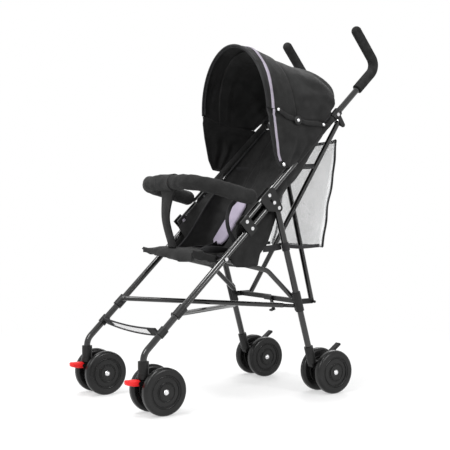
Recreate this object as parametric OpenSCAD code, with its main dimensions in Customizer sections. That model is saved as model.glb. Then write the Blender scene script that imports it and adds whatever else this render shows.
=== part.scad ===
// Umbrella stroller with scissor frame, twin wheels, sling seat, hood and mesh bag.
// Millimetres. Front is -Y, the child's left is +X, up is +Z.

/* [Side frame] */
// Distance of each side frame's plane from the middle
side_x = 170; // [150:1:190]
// Outside diameter of the push tubes and legs
tube_d = 18; // [16:0.5:19]
// Lean of the push tube and the front leg above the floor, in degrees
lean = 44; // [42:0.5:46]
// Place of the push tube's axis at the hub, front to back
hub_y = 18; // [8:1:28]
// Height of the push tube's axis at the hub
hub_z = 568; // [558:1:578]
// Distance from the push tube's axis to the front leg's axis
leg_offset = 26; // [25:0.5:28]
// Distance from the front leg's axis to the rear leg's pivot
pivot_offset = 22; // [22:0.5:24]
// Length of the push tube below the hub
push_tail = 118; // [105:1:125]
// Thickness of the hub, saddle and clamp plates
plate_t = 3; // [2:0.5:3]

/* [Handles] */
// Length of the push tube from the hub to the handle's bend
handle_reach = 556; // [540:1:565]
// Length of the handle past its bend
handle_hook = 125; // [115:1:135]
// Turn of the handle at its bend, in degrees
handle_turn = 84; // [78:1:90]
// Radius of the handle's bend
handle_bend_r = 36; // [30:1:42]
// Outside diameter of the foam grip
grip_d = 30; // [26:1:34]
// Length of foam below the bend
grip_below = 70; // [55:1:85]

/* [Front legs] */
// Place of the swivel axis, front to back
swivel_y = -370; // [-376:1:-364]
// Radius of the bend above the caster
leg_bend_r = 40; // [30:1:50]
// Height of the lower end of the front leg
leg_end_z = 126; // [124:0.5:130]

/* [Rear legs] */
// Place of the rear leg's lower end, front to back
rear_leg_y = 176; // [168:1:184]
// Height of the rear leg's lower end
rear_leg_z = 94; // [90:1:98]

/* [Wheels] */
// Wheel diameter
wheel_d = 125; // [118:1:127]
// Width of one wheel
wheel_w = 24; // [20:1:26]
// Distance between the two wheels of a pair, face to face
wheel_gap = 44; // [42:1:46]
// Axle diameter
axle_d = 8; // [7:0.5:9]
// How far the front axle trails the swivel axis
front_trail = 42; // [38:1:46]
// Place of the rear axle, front to back
rear_axle_y = 229; // [222:1:236]
// Diameter of the bright axle caps
cap_d = 15; // [12:1:18]

/* [Caster] */
// Outside diameter of the caster socket
socket_d = 29; // [27:1:31]
// Height of the caster socket's lower face
socket_z = 100; // [98:0.5:102]
// Height of the caster socket
socket_h = 40; // [34:1:40]
// Diameter of the swivel stem
stem_d = 10; // [9:0.5:11]
// Width of the fork between the wheels
fork_w = 20; // [18:1:24]
// Length of the red swivel lock lever
lock_len = 31; // [24:1:32]

/* [Brake] */
// Length of the brake pedal
pedal_len = 52; // [44:1:56]
// Width of the brake pedal
pedal_w = 16; // [12:1:20]
// Slope of the brake pedal, in degrees
pedal_slope = 36; // [30:1:42]

/* [Seat rails] */
// Outside diameter of the seat rail
rail_d = 14; // [12:0.5:15]
// Distance of the seat rail from the middle
rail_x = 148; // [144:1:148]
// Place of the seat rail's pivot down the front leg from the hub
rail_pivot_u = 222; // [216:1:228]
// Place of the seat rail's bend, front to back
rail_bend_y = 35; // [28:1:42]
// Height of the seat rail's bend
rail_bend_z = 358; // [354:1:362]
// Place of the seat rail's rear end, front to back
rail_end_y = 118; // [114:1:122]
// Height of the seat rail's rear end
rail_end_z = 282; // [279:1:285]
// Radius of the seat rail's bend
rail_bend_r = 40; // [30:1:50]

/* [Lower cross] */
// Diameter of the lower cross bars
lower_bar_d = 14; // [12:0.5:15]
// Place of the cross clamp down the front leg from the hub
clamp_u = 415; // [408:1:422]
// Distance of the bars' front ends from the middle
lower_front_x = 142; // [138:1:143]
// Distance of the bars' rear ends from the middle
lower_rear_x = 127.5; // [125:0.5:129]
// Place of the bars' rear ends, front to back
lower_rear_y = 103.5; // [101:0.5:106]
// Height of the bars' rear ends
lower_rear_z = 244; // [240:1:247]
// Height that separates the two bars where they cross
lower_split = 21; // [20:0.5:23]

/* [Rear cross] */
// Diameter of the rear cross bars
rear_bar_d = 15; // [13:0.5:16]
// Place of the top joint up the push tube from the hub
top_joint_u = 339; // [332:1:346]
// Distance of the bars' top ends from the middle
rear_top_x = 165; // [160:1:168]
// Distance from the push tube's axis back to the bars' top ends
rear_top_v = 34; // [32:0.5:37]
// Distance of the bars' lower ends from the middle
rear_low_x = 141; // [136:1:142]
// Place of the bars' lower ends, front to back
rear_low_y = 186; // [182:1:190]
// Height of the bars' lower ends
rear_low_z = 264; // [258:1:270]
// Distance front to back that separates the two bars
rear_split = 24; // [23:0.5:27]

/* [Rear brace] */
// Place of the folding brace, front to back
brace_y = 142; // [140:0.5:144]
// Height of the folding brace
brace_z = 267; // [264:0.5:269]
// Distance of the brace's pivots from the middle
brace_pivot_x = 148; // [144:1:149]
// Height of the brace's flat bars
brace_h = 14; // [12:1:15]
// Thickness of the brace's flat bars
brace_t = 5; // [4:0.5:6]
// Length by which each bar passes the middle
brace_lap = 14; // [10:1:18]
// Length of the foot hook of the brace lock
hook_len = 36; // [30:1:44]

/* [Hood] */
// Distance of the hood's pivot ahead of the top joint
hood_ahead = 147; // [140:1:154]
// Distance of the hood's pivot below the top joint
hood_below = 23.5; // [16:0.5:30]
// Drop of the hood link from its pivot back to the push tube
link_drop = 10; // [8:0.5:12]
// Height of the hood over its pivot at the front rim
hood_front_r = 244; // [236:1:250]
// Height of the hood over its pivot at the back edge
hood_back_r = 160; // [154:1:166]
// Distance from the hood's pivot back to the end of its straight ridge
hood_ridge_y = 125; // [118:1:130]
// Height of the end of the straight ridge over the hood's pivot
hood_ridge_z = 142; // [136:1:146]
// Distance from the hood's pivot back to the corner that the rear hump rounds
hood_hump_y = 203; // [196:1:206]
// Height of that corner over the hood's pivot
hood_hump_z = 98; // [92:1:104]
// Distance of the front rim's foot ahead of the arm's end
rim_ahead = 26; // [22:1:28]
// Share of the ridge that the front cloth covers
front_share = 0.31; // [0.28:0.01:0.33]
// Distance of the back cloth's foot ahead of the link's clip
back_foot = 26; // [22:1:30]
// Roundness of the hood's arches, lower is squarer
hood_square = 0.95; // [0.9:0.01:1]
// Gap between the front and the back hood cloths where they pass
hood_nest = 9; // [8:0.5:12]
// Angle of the front rim above the back horizon, in degrees
hood_front_a = 111; // [107:1:114]
// Angle of the back edge
hood_back_a = 17; // [14:1:20]
// Thickness of the hood cloth
hood_t = 2.4; // [1.6:0.2:3]
// Length of push tube from the top joint down to the side cloth's lowest point
wing_drop = 221; // [210:1:230]
// Length of push tube under the side cloth's tail
wing_tail = 32; // [26:1:40]
// Width of the side cloth's lower hem
wing_low = 54; // [46:1:60]
// Distance of the side cloth's top edge ahead of the link's ends
wing_in = 14; // [12:0.5:18]
// Diameter of the hood's hoop wire
hoop_d = 7; // [5:0.5:8]
// Length of the hood's front arm
arm_len = 75; // [70:1:80]

/* [Seat] */
// Half width of the sling between the seat rails
sling_half_w = 136; // [130:1:137]
// Thickness of the sling cloth
sling_t = 5; // [3:0.5:7]
// Depth of the padded seat, front to back
base_depth = 196; // [188:1:204]
// Thickness of the padded seat at its crown
base_crown = 26; // [20:1:28]
// Place of the padded seat's front edge
base_front_y = -198; // [-206:1:-194]

/* [Bumper] */
// Diameter of the padded bumper bar
bumper_d = 44; // [38:1:46]
// Place of the bumper's front
bumper_front_y = -201; // [-210:1:-192]
// Place where the bumper meets the push tube, down from the hub
bumper_drop = 21; // [18:1:26]
// Rise of the bumper toward its front, in degrees
bumper_rise = 14; // [11:1:16]
// Radius of the bumper's corners
bumper_corner_r = 82; // [70:1:92]
// Width of the crotch strap
crotch_w = 24; // [18:1:32]

/* [Bag and footrest] */
// Half width of the mesh bag
bag_half_w = 124; // [116:1:128]
// Height of the mesh bag's top
bag_top_z = 734; // [720:1:740]
// Height of the mesh bag's bottom
bag_low_z = 420; // [412:1:430]
// Depth of the mesh bag at its middle
bag_deep = 32; // [26:1:40]
// Depth of the mesh bag at its mouth
bag_mouth = 16; // [14:1:24]
// Thickness of the mesh bag's walls
bag_t = 3; // [2:0.5:4]
// Width of the footrest strap
foot_w = 26; // [22:1:32]
// Sag of the footrest strap at the middle
foot_sag = 16; // [10:1:20]
// Place of the footrest strap, as a share of the leg from the cross clamp to the bend
foot_share = 0.49; // [0.46:0.01:0.52]

/* [Fits] */
// Radial play of a turning fit
run_fit = 0.05; // [0.03:0.01:0.09]
// Play of a piece seated on another
seat_fit = 0.1; // [0.05:0.05:0.3]
// Gap between neighbours that move past each other
pass_gap = 0.6; // [0.4:0.1:1]
// Diameter of the rivets
rivet_d = 7; // [6:0.5:7.5]

/* [Hidden] */
$fn = 48;

tube_r = tube_d / 2;
// Length of the rear leg above its pivot
rear_stub = 7;
// Hairline angle that parts a bend from its straights
seam_a = 0.05;
wheel_r = wheel_d / 2;
axle_r = axle_d / 2;
rail_r = rail_d / 2;
rivet_r = rivet_d / 2;

// Directions in the side plane, as [y, z]: up the push tube, and square to it toward the back
along = [cos(lean), sin(lean)];
behind = [sin(lean), -cos(lean)];
hub = [hub_y, hub_z];
leg_top = hub + leg_offset * behind;
rear_pivot = leg_top + pivot_offset * behind;
function on_push(u, v = 0) = hub + u * along + v * behind;
function on_leg(u, v = 0) = leg_top - u * along + v * behind;
rail_pivot = on_leg(rail_pivot_u);
clamp_at = on_leg(clamp_u);
bend_u = (leg_top[0] - swivel_y) / cos(lean);
foot_u = clamp_u + (bend_u - clamp_u) * foot_share;
foot_at = on_leg(foot_u);
top_joint = on_push(top_joint_u);
rear_top = on_push(top_joint_u, rear_top_v);
rear_foot_at = [rear_leg_y, rear_leg_z];
rear_dir = (rear_foot_at - rear_pivot) / norm(rear_foot_at - rear_pivot);
function on_rear(r, w = 0) = rear_pivot + r * rear_dir + w * [-rear_dir[1], rear_dir[0]];
front_axle = [swivel_y + front_trail, wheel_r];
rear_axle = [rear_axle_y, wheel_r];
hood_at = top_joint - [hood_ahead, hood_below];
rail_end = [rail_end_y, rail_end_z];
bracket_r = norm([rail_end_y, (rail_end_z + lower_rear_z) / 2] - rear_pivot);

// Fold: each side closes inward while the rear legs swing forward
fold_close = 100;
fold_swing = 34;
lower_fold_a = 40;
function swung(p) =
  let (d = p - rear_pivot)
  rear_pivot + [d[0] * cos(fold_swing) + d[1] * sin(fold_swing),
                d[1] * cos(fold_swing) - d[0] * sin(fold_swing)];

// Layers across the side frame, measured from its plane toward the middle
plate_in = tube_r + pass_gap;
sleeve_r = tube_r + 3;
// Rim of the hub plates round a tube
hub_eye = tube_r + 3;
inner_face = side_x - plate_in - plate_t;

// Helpers

function unit(v) = v / norm(v);
function p3(x, p) = [x, p[0], p[1]];

// Puts a drawing of [y, z] upright in the plane at x, extruding toward +X
module side_plane(x) { translate([x, 0, 0]) rotate([90, 0, 90]) children(); }

// Straight rod between two points
module rod(a, b, r) {
  v = b - a;
  translate(a)
    rotate([0, acos(v[2] / norm(v)), atan2(v[1], v[0])])
      cylinder(r = r, h = norm(v));
}

// Flat bar with round ends, as a drawing
module bar2d(a, b, r) {
  d = unit(b - a);
  n = 0.96 * r * [-d[1], d[0]];
  translate(a) circle(r);
  translate(b) circle(r);
  polygon([a + n, b + n, b - n, a - n]);
}

// Rod with a round end at b
module capsule(a, b, r) {
  v = b - a;
  translate(a)
    rotate([0, acos(v[2] / norm(v)), atan2(v[1], v[0])])
      rotate_extrude() {
        square([r, norm(v)]);
        translate([0, norm(v)]) intersection() {
          circle(r);
          square(r);
        }
      }
}

// Rod through three points of the side plane with a round bend at the middle one
module bent_rod(a, b, c, bend_r, r, bore = 0, round_end = false) {
  u = unit(b - a);
  w = unit(c - b);
  side = u[0] * w[1] - u[1] * w[0] > 0 ? 1 : -1;
  turn = acos(u * w);
  cut = bend_r * tan(turn / 2);
  centre = b - cut * u + side * bend_r * [-u[1], u[0]];
  from = atan2(-side * u[0], side * u[1]);
  p = [b[0] - cut * u[0], b[1] - cut * u[1], 0];
  q = [b[0] + cut * w[0], b[1] + cut * w[1], 0];
  a3 = [a[0], a[1], 0];
  c3 = [c[0], c[1], 0];
  difference() {
    rod(a3, p, r);
    if (bore > 0) rod(a3 - unit(p - a3), p + unit(p - a3), bore);
  }
  difference() {
    if (round_end) capsule(q, c3, r);
    else rod(q, c3, r);
    if (bore > 0) rod(q - unit(c3 - q), c3, bore);
  }
  translate([centre[0], centre[1], 0])
    rotate([0, 0, (side > 0 ? from : from - turn) + seam_a])
      rotate_extrude(angle = turn - 2 * seam_a) translate([bend_r, 0])
        difference() {
          circle(r);
          if (bore > 0) circle(bore);
        }
}

// Sleeve round a rod of the side plane, from a to b
module sleeve(a, b, r, bore) {
  d = unit(b - a);
  difference() {
    rod([a[0], a[1], 0], [b[0], b[1], 0], r);
    rod([a[0] - d[0], a[1] - d[1], 0], [b[0] + d[0], b[1] + d[1], 0], bore);
  }
}

// Pin along X through a point of the side plane
module cross_pin(p, x0, x1, r) {
  translate([x0, p[0], p[1]]) rotate([0, 90, 0]) cylinder(r = r, h = x1 - x0);
}

// Rivet along X with a low round head at each end
module rivet(p, x0, x1, head = 1.4) {
  cross_pin(p, x0, x1, rivet_r);
  for (x = [x0 - head, x1]) cross_pin(p, x, x + head, rivet_r + 1.6);
}

// Copies the left side to the right
module on_right() { mirror([1, 0, 0]) children(); }

// Closed shell of thickness t over a grid of points, rows by columns
function grid_normal(g, i, j) =
  let (m = len(g) - 1, n = len(g[0]) - 1)
  unit(cross(g[i][min(j + 1, n)] - g[i][max(j - 1, 0)], g[min(i + 1, m)][j] - g[max(i - 1, 0)][j]));
module shell(g, t) {
  m = len(g);
  n = len(g[0]);
  top = [for (i = [0:m - 1]) for (j = [0:n - 1]) g[i][j] + t / 2 * grid_normal(g, i, j)];
  low = [for (i = [0:m - 1]) for (j = [0:n - 1]) g[i][j] - t / 2 * grid_normal(g, i, j)];
  closed_grid(top, low, m, n);
}

// Closed solid between two grids of points of m rows and n columns
module closed_grid(top, low, m, n) {
  k = m * n;
  quads = [
    for (i = [0:m - 2]) for (j = [0:n - 2]) [i * n + j, i * n + n + j, i * n + n + j + 1, i * n + j + 1],
    for (i = [0:m - 2]) for (j = [0:n - 2])
      [k + i * n + j, k + i * n + j + 1, k + i * n + n + j + 1, k + i * n + n + j],
    for (j = [0:n - 2]) [j, j + 1, k + j + 1, k + j],
    for (j = [0:n - 2]) [(m - 1) * n + j, k + (m - 1) * n + j, k + (m - 1) * n + j + 1, (m - 1) * n + j + 1],
    for (i = [0:m - 2]) [i * n, k + i * n, k + i * n + n, i * n + n],
    for (i = [0:m - 2]) [i * n + n - 1, i * n + 2 * n - 1, k + i * n + 2 * n - 1, k + i * n + n - 1]
  ];
  polyhedron(concat(top, low), [for (q = quads) each [[q[0], q[1], q[2]], [q[0], q[2], q[3]]]],
             convexity = 8);
}

// Side frame

module handle_tube() {
  bend = on_push(handle_reach);
  hook = bend + handle_hook * [cos(lean + handle_turn), sin(lean + handle_turn)];
  color([0.10, 0.10, 0.11])
    difference() {
      side_plane(side_x) bent_rod(on_push(-push_tail), bend, hook, handle_bend_r, tube_r);
      for (u = [0, -push_tail + 14, top_joint_u])
        cross_pin(on_push(u), side_x - tube_d, side_x + tube_d, rivet_r + run_fit);
    }
}

module handle_grip() {
  bend = on_push(handle_reach);
  way = [cos(lean + handle_turn), sin(lean + handle_turn)];
  cut = handle_bend_r * tan(handle_turn / 2);
  low = on_push(handle_reach - cut - grip_below);
  color([0.07, 0.07, 0.07])
    side_plane(side_x)
      bent_rod(low, bend, bend + (handle_hook + seat_fit) * way, handle_bend_r, grip_d / 2,
               tube_r + seat_fit, true);
}

module front_leg() {
  corner = [swivel_y, leg_top[1] + (swivel_y - leg_top[0]) * tan(lean)];
  color([0.10, 0.10, 0.11])
    difference() {
      side_plane(side_x) bent_rod(on_leg(-6), corner, [swivel_y, leg_end_z], leg_bend_r, tube_r);
      for (u = [2, push_tail - 14, rail_pivot_u])
        cross_pin(on_leg(u), side_x - tube_d, side_x + tube_d, rivet_r + run_fit);
    }
}

// Hub plates, saddle, top joint, cross clamp and footrest lug of one side
module side_brackets(s) {
  eye = hub_eye;
  color([0.06, 0.06, 0.065]) {
    for (x = [side_x + plate_in, side_x - plate_in - plate_t])
      difference() {
        side_plane(x) linear_extrude(plate_t) {
          bar2d(on_push(14), rear_pivot, eye);
          bar2d(on_push(-20), on_leg(20), eye);
          bar2d(on_push(-20), on_push(14), eye);
          bar2d(on_leg(20), rear_pivot, eye);
        }
        for (p = [hub, on_leg(2), rear_pivot])
          cross_pin(p, x - 1, x + plate_t + 1, rivet_r + seat_fit);
      }
    for (x = [side_x + plate_in, side_x - plate_in - plate_t])
      difference() {
        side_plane(x) linear_extrude(plate_t)
          polygon([on_push(-push_tail - 4, -12), on_push(28 - push_tail, -12),
                   on_leg(push_tail - 28, 13), on_leg(push_tail + 4, 13)]);
        for (p = [on_push(14 - push_tail), on_leg(push_tail - 14)])
          cross_pin(p, x - 1, x + plate_t + 1, rivet_r + seat_fit);
      }
    top_joint_block(s);
    side_plane(side_x)
      sleeve(on_leg(clamp_u - 17), on_leg(clamp_u + 17), sleeve_r + 1, tube_r + seat_fit);
    side_plane(side_x)
      sleeve(on_leg(foot_u - 12), on_leg(foot_u + 12), sleeve_r, tube_r + seat_fit);
    clamp_stud(s);
  }
}

// Block on the push tube that holds the rear cross bar's pin; s tells the two bars apart
module top_joint_block(s) {
  seat = [rear_top[0] - s * rear_split / 2, rear_top[1]];
  pin_a = p3(rear_top_x, seat);
  way = [s * rear_axis(s)[0], rear_axis(s)[1], rear_axis(s)[2]];
  out = pin_a - (rear_bar_d / 2 + 2.4) * way;
  difference() {
    union() {
      side_plane(side_x)
        sleeve(on_push(top_joint_u - 15), on_push(top_joint_u + 15), sleeve_r + 1, tube_r + seat_fit);
      side_plane(side_x + tube_r + seat_fit) linear_extrude(sleeve_r + 1 - tube_r - 2 * seat_fit)
        bar2d(on_push(top_joint_u, 4), [out[1], out[2]], 7);
    }
    cross_pin(top_joint, side_x - 2 * tube_d, side_x + 2 * tube_d, rivet_r + seat_fit);
  }
  rod(pin_a + (rear_bar_d / 2 + 2) * way, pin_a - (rear_bar_d / 2 + 4) * way, pin_r);
  rod(out, p3(side_x + tube_r + 2, [out[1], out[2]]), pin_r);
}

// Pin of the lower cross bar on its clamp
module clamp_stud(s) {
  at = [lower_front_x, lower_front(s)[1], lower_front(s)[2]];
  way = [s * lower_axis(s)[0], lower_axis(s)[1], lower_axis(s)[2]];
  out = at + (lower_bar_d / 2 + 3.6) * way;
  rod(at - (lower_bar_d / 2 + 2) * way, at + (lower_bar_d / 2 + 5) * way, pin_r);
  rod(out, p3(side_x - tube_r - 3, clamp_at), pin_r);
}

module rivets() {
  out = side_x + plate_in + plate_t;
  color([0.78, 0.79, 0.80]) {
    for (p = [hub, on_leg(2), rear_pivot, on_push(14 - push_tail), on_leg(push_tail - 14)])
      rivet(p, inner_face, out);
    cross_pin(rail_pivot, rail_x - rail_r + 1, out, rivet_r);
    cross_pin(rail_pivot, out, out + 1.4, rivet_r + 1.6);
    rivet(top_joint, side_x - sleeve_r - 1, side_x + sleeve_r + 1);
  }
}

module caster_socket() {
  color([0.06, 0.06, 0.065])
    translate([side_x, swivel_y, socket_z])
      difference() {
        union() {
          cylinder(d = socket_d, h = socket_h);
          cylinder(d = socket_d + 5, h = 6);
        }
        translate([0, 0, leg_end_z - socket_z - seat_fit]) cylinder(r = tube_r + seat_fit, h = socket_h);
        translate([0, 0, -1]) cylinder(r = stem_d / 2 + run_fit, h = leg_end_z - socket_z - 1);
      }
}

// Hood fittings of one side

link_x = side_x + tube_r + pass_gap;
arm_x = link_x + plate_t + pass_gap;
clip_at = on_push((hood_at[1] - link_drop - hub_z) / sin(lean));
arm_way = [-cos(23), sin(23)];

module hood_link() {
  color([0.06, 0.06, 0.065]) {
    side_plane(link_x) linear_extrude(plate_t) bar2d(hood_at, clip_at, 8);
    cross_pin(hood_at, link_x, arm_x + plate_t + 2, pin_r);
    cross_pin(hood_at, arm_x + plate_t + pass_gap, arm_x + plate_t + 3, rivet_r + 3);
    side_plane(side_x)
      sleeve(clip_at - 12 * along, clip_at + 12 * along, sleeve_r, tube_r + seat_fit);
  }
}

module hood_arm() {
  color([0.06, 0.06, 0.065])
    difference() {
      side_plane(arm_x) linear_extrude(plate_t) bar2d(hood_at, hood_at + arm_len * arm_way, 7);
      cross_pin(hood_at, arm_x - 1, arm_x + plate_t + 1, pin_r + run_fit);
    }
}

// Side cloth under the hood link, outside the push tube
module hood_wing() {
  low_u = top_joint_u - wing_drop;
  color([0.05, 0.05, 0.055])
    side_plane(link_x) linear_extrude(hood_t)
      polygon([arm_tip - [rim_ahead - 12, arm_len / 6], hood_at - [wing_in, link_drop],
               clip_at - [wing_in, link_drop],
               on_push(low_u + wing_tail, 3), on_push(low_u, -3), on_push(low_u, -3) - [wing_low, -3]]);
}

// Rear leg

module rear_leg() {
  color([0.10, 0.10, 0.11])
    difference() {
      side_plane(side_x) rod(concat(on_rear(-rear_stub), 0), concat(rear_foot_at, 0), tube_r);
      cross_pin(rear_pivot, side_x - tube_d, side_x + tube_d, rivet_r + run_fit);
    }
}

module rear_foot() {
  end_r = norm(rear_foot_at - rear_pivot);
  heel = rear_axle + [-16, 26];
  toe = on_rear(end_r + 11);
  reach = fork_w / 2 + boss_t;
  color([0.06, 0.06, 0.065]) {
    side_plane(side_x)
      difference() {
        rod(concat(on_rear(end_r - 44), 0), concat(on_rear(end_r + 6), 0), sleeve_r + 1);
        rod(concat(on_rear(end_r - 45), 0), concat(on_rear(end_r + run_fit), 0), tube_r + seat_fit);
      }
    difference() {
      union() {
        side_plane(side_x - fork_w / 2) linear_extrude(fork_w) {
          bar2d(toe, rear_axle, 9);
          bar2d(heel, rear_axle, 8);
          bar2d(toe, heel, 8.5);
          bar2d(heel, pedal_pivot, 7);
        }
        cross_pin(rear_axle, side_x - reach, side_x + reach, 11);
      }
      cross_pin(rear_axle, side_x - wheel_gap, side_x + wheel_gap, axle_r + seat_fit);
      side_plane(side_x - pedal_w / 2 - pass_gap) linear_extrude(pedal_w + 2 * pass_gap)
        translate(pedal_pivot) circle(7 + 9);
    }
    cross_pin(pedal_pivot, side_x - fork_w / 2 - 0.6, side_x + fork_w / 2 + 0.6, pin_r);
  }
}

pin_r = 3;
boss_t = wheel_gap / 2 - fork_w / 2 - pass_gap;
pedal_pivot = rear_axle + [2, 42];

module rear_bracket() {
  reach = brace_t + pass_gap + 3;
  color([0.06, 0.06, 0.065]) {
    side_plane(side_x)
      sleeve(on_rear(bracket_r - 30), on_rear(bracket_r + 26), sleeve_r, tube_r + seat_fit);
    side_plane(inner_face) linear_extrude(plate_t) {
      bar2d(on_rear(bracket_r - 22), on_rear(bracket_r + 20), 9);
      bar2d(on_rear(bracket_r), [rear_low_y - 2, rear_low_z + 2], 8);
    }
    for (s = [-1, 1])
      rod([brace_pivot_x, brace_y + s * (reach - 0.6), brace_z + s * (reach - 0.6) * brace_rise],
          [inner_face + 1, brace_y + s * (reach - 0.6), brace_z + s * (reach - 0.6) * brace_rise], 2);
    rod([brace_pivot_x, brace_y - reach, brace_z - reach * brace_rise],
        [brace_pivot_x, brace_y + reach, brace_z + reach * brace_rise], pin_r);
  }
}

// Wheels and axles

module wheel(p, x) {
  half = wheel_w / 2;
  crown = 9;
  color([0.09, 0.09, 0.09])
    translate([x, p[0], p[1]]) rotate([0, 90, 0])
      rotate_extrude($fn = 72)
        difference() {
          union() {
            translate([axle_r + run_fit, -half]) square([wheel_r - crown - axle_r - run_fit, wheel_w]);
            translate([wheel_r - crown, -half + crown]) square([crown, wheel_w - 2 * crown]);
            for (s = [-1, 1]) translate([wheel_r - crown, s * (half - crown)]) circle(crown);
          }
          for (s = [-1, 1]) {
            translate([wheel_r - 21, s * half]) circle(2.5);
            translate([wheel_r - 34, s * (half + 2)]) square([18, 8], center = true);
            translate([wheel_r - 38, s * (half - 2)]) circle(2);
          }
        }
}

module axle(p) {
  end = wheel_gap / 2 + wheel_w + pass_gap;
  color([0.80, 0.81, 0.82]) {
    cross_pin(p, side_x - end, side_x + end, axle_r);
    for (s = [-1, 1])
      translate([side_x + s * end, p[0], p[1]]) rotate([0, s * 90, 0])
        rotate_extrude() difference() {
          intersection() {
            translate([0, -cap_d * 0.62 + 4]) circle(cap_d * 0.62);
            translate([0, 0]) square([cap_d / 2, 8]);
          }
        }
  }
}

module caster_fork() {
  color([0.06, 0.06, 0.065]) {
    translate([side_x, swivel_y, socket_z - pass_gap - 4]) cylinder(d = socket_d + 3, h = 4);
    translate([side_x, swivel_y, socket_z - pass_gap - 2])
      cylinder(r = stem_d / 2, h = leg_end_z - socket_z - 3 + pass_gap);
    difference() {
      side_plane(side_x - fork_w / 2) linear_extrude(fork_w) {
        bar2d([swivel_y - 4, socket_z - pass_gap - 14], front_axle, 11);
        bar2d([swivel_y + 16, socket_z - pass_gap - 14], front_axle, 11);
        bar2d([swivel_y - 4, socket_z - pass_gap - 14], [swivel_y + 16, socket_z - pass_gap - 14], 11);
      }
      cross_pin(front_axle, side_x - fork_w, side_x + fork_w, axle_r + seat_fit);
      side_plane(side_x - fork_w) linear_extrude(2 * fork_w) translate(lock_pivot) circle(9 + pass_gap);
    }
    for (s = [-1, 1]) {
      side_plane(side_x + s * (fork_w / 2 - 1) - 1) linear_extrude(2)
        bar2d(lock_pivot, [swivel_y + 2, socket_z - pass_gap - 16], 5);
      difference() {
        cross_pin(front_axle, side_x + s * (fork_w / 2 + boss_t / 2) - boss_t / 2,
                  side_x + s * (fork_w / 2 + boss_t / 2) + boss_t / 2, 11);
        cross_pin(front_axle, side_x - wheel_gap, side_x + wheel_gap, axle_r + seat_fit);
      }
    }
    cross_pin(lock_pivot, side_x - fork_w / 2, side_x + fork_w / 2, pin_r - 1);
  }
}

lock_pivot = [swivel_y - 14, socket_z - 15];

module swivel_lock() {
  color([0.72, 0.06, 0.07])
    difference() {
      union() {
        side_plane(side_x - fork_w / 2 + 2 + pass_gap) linear_extrude(fork_w - 4 - 2 * pass_gap)
          bar2d(lock_pivot, lock_pivot + [-lock_len, 2], 5.5);
        side_plane(side_x - fork_w / 2) linear_extrude(fork_w)
          bar2d(lock_pivot + [-lock_len, 2], lock_pivot + [-lock_len + 6, 2], 5.5);
      }
      cross_pin(lock_pivot, side_x - fork_w, side_x + fork_w, pin_r - 1 + run_fit);
    }
}

module brake_pedal() {
  tip = pedal_pivot + pedal_len * [cos(pedal_slope), sin(pedal_slope)];
  color([0.06, 0.06, 0.065])
    difference() {
      side_plane(side_x - pedal_w / 2) linear_extrude(pedal_w) {
        bar2d(pedal_pivot, tip, 4);
        translate(pedal_pivot) circle(6);
      }
      cross_pin(pedal_pivot, side_x - fork_w, side_x + fork_w, pin_r + run_fit);
    }
}

// Folding bars

module seat_rail() {
  color([0.10, 0.10, 0.11])
    difference() {
      side_plane(rail_x)
        bent_rod(rail_pivot - 9 * unit([rail_bend_y, rail_bend_z] - rail_pivot),
                 [rail_bend_y, rail_bend_z], rail_end, rail_bend_r, rail_r, 0, true);
      cross_pin(rail_pivot, rail_x - rail_d, rail_x + rail_d, rivet_r + run_fit);
    }
}

// Ends of the lower cross bars: s is 1 for the bar that starts at the left front leg
function lower_front(s) = [s * lower_front_x, clamp_at[0], clamp_at[1] - s * lower_split / 2];
function lower_rear(s) = [-s * lower_rear_x, lower_rear_y, lower_rear_z - s * lower_split / 2];
function lower_axis(s) =
  let (v = unit(lower_rear(s) - lower_front(s)), f = unit([-s * lower_fold_x, lower_fold_y, lower_fold_z]))
  s * unit(cross(v, f));
// Direction of the bars when the frame is folded
lower_fold_x = lower_front_x + lower_rear_x - 2 * fold_close;
lower_long = norm(lower_rear(1) - lower_front(1));
lower_reach = sqrt(lower_long * lower_long - lower_fold_x * lower_fold_x);
lower_fold_y = lower_reach * cos(lower_fold_a);
lower_fold_z = lower_reach * sin(lower_fold_a);

module lower_bar(s) {
  color([0.10, 0.10, 0.11])
    difference() {
      capsule(lower_front(s) - 7 * unit(lower_rear(s) - lower_front(s)), lower_rear(s), lower_bar_d / 2);
      rod(lower_front(s) - 20 * lower_axis(s), lower_front(s) + 20 * lower_axis(s), pin_r + run_fit);
    }
}

// Ends of the rear cross bars: the left bar runs in front of the right one
rear_left_top = rear_top + [-rear_split / 2, 0];
function rear_end_top(s) = [s * rear_top_x, rear_top[0] - s * rear_split / 2, rear_top[1]];
function rear_end_low(s) = [-s * rear_low_x, rear_low_y - s * rear_split / 2, rear_low_z];
// Direction of the bars when the frame is folded, toward the swung rear leg
rear_swung = swung([rear_low_y, rear_low_z]);
rear_fold_x = rear_top_x + rear_low_x - 2 * fold_close;
rear_fold_y = rear_swung[0] - rear_top[0];
rear_fold_z = rear_swung[1] - rear_top[1];
function rear_axis(s) =
  let (v = unit(rear_end_low(s) - rear_end_top(s)), f = unit([-s * rear_fold_x, rear_fold_y, rear_fold_z]))
  s * unit(cross(v, f));

module rear_bar(s) {
  color([0.10, 0.10, 0.11])
    difference() {
      capsule(rear_end_top(s) - 10 * unit(rear_end_low(s) - rear_end_top(s)), rear_end_low(s),
              rear_bar_d / 2);
      rod(rear_end_top(s) - 20 * rear_axis(s), rear_end_top(s) + 20 * rear_axis(s), pin_r + run_fit);
    }
}

// The brace's pins are square to the rear leg
brace_rise = rear_dir[0] / -rear_dir[1];

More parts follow.
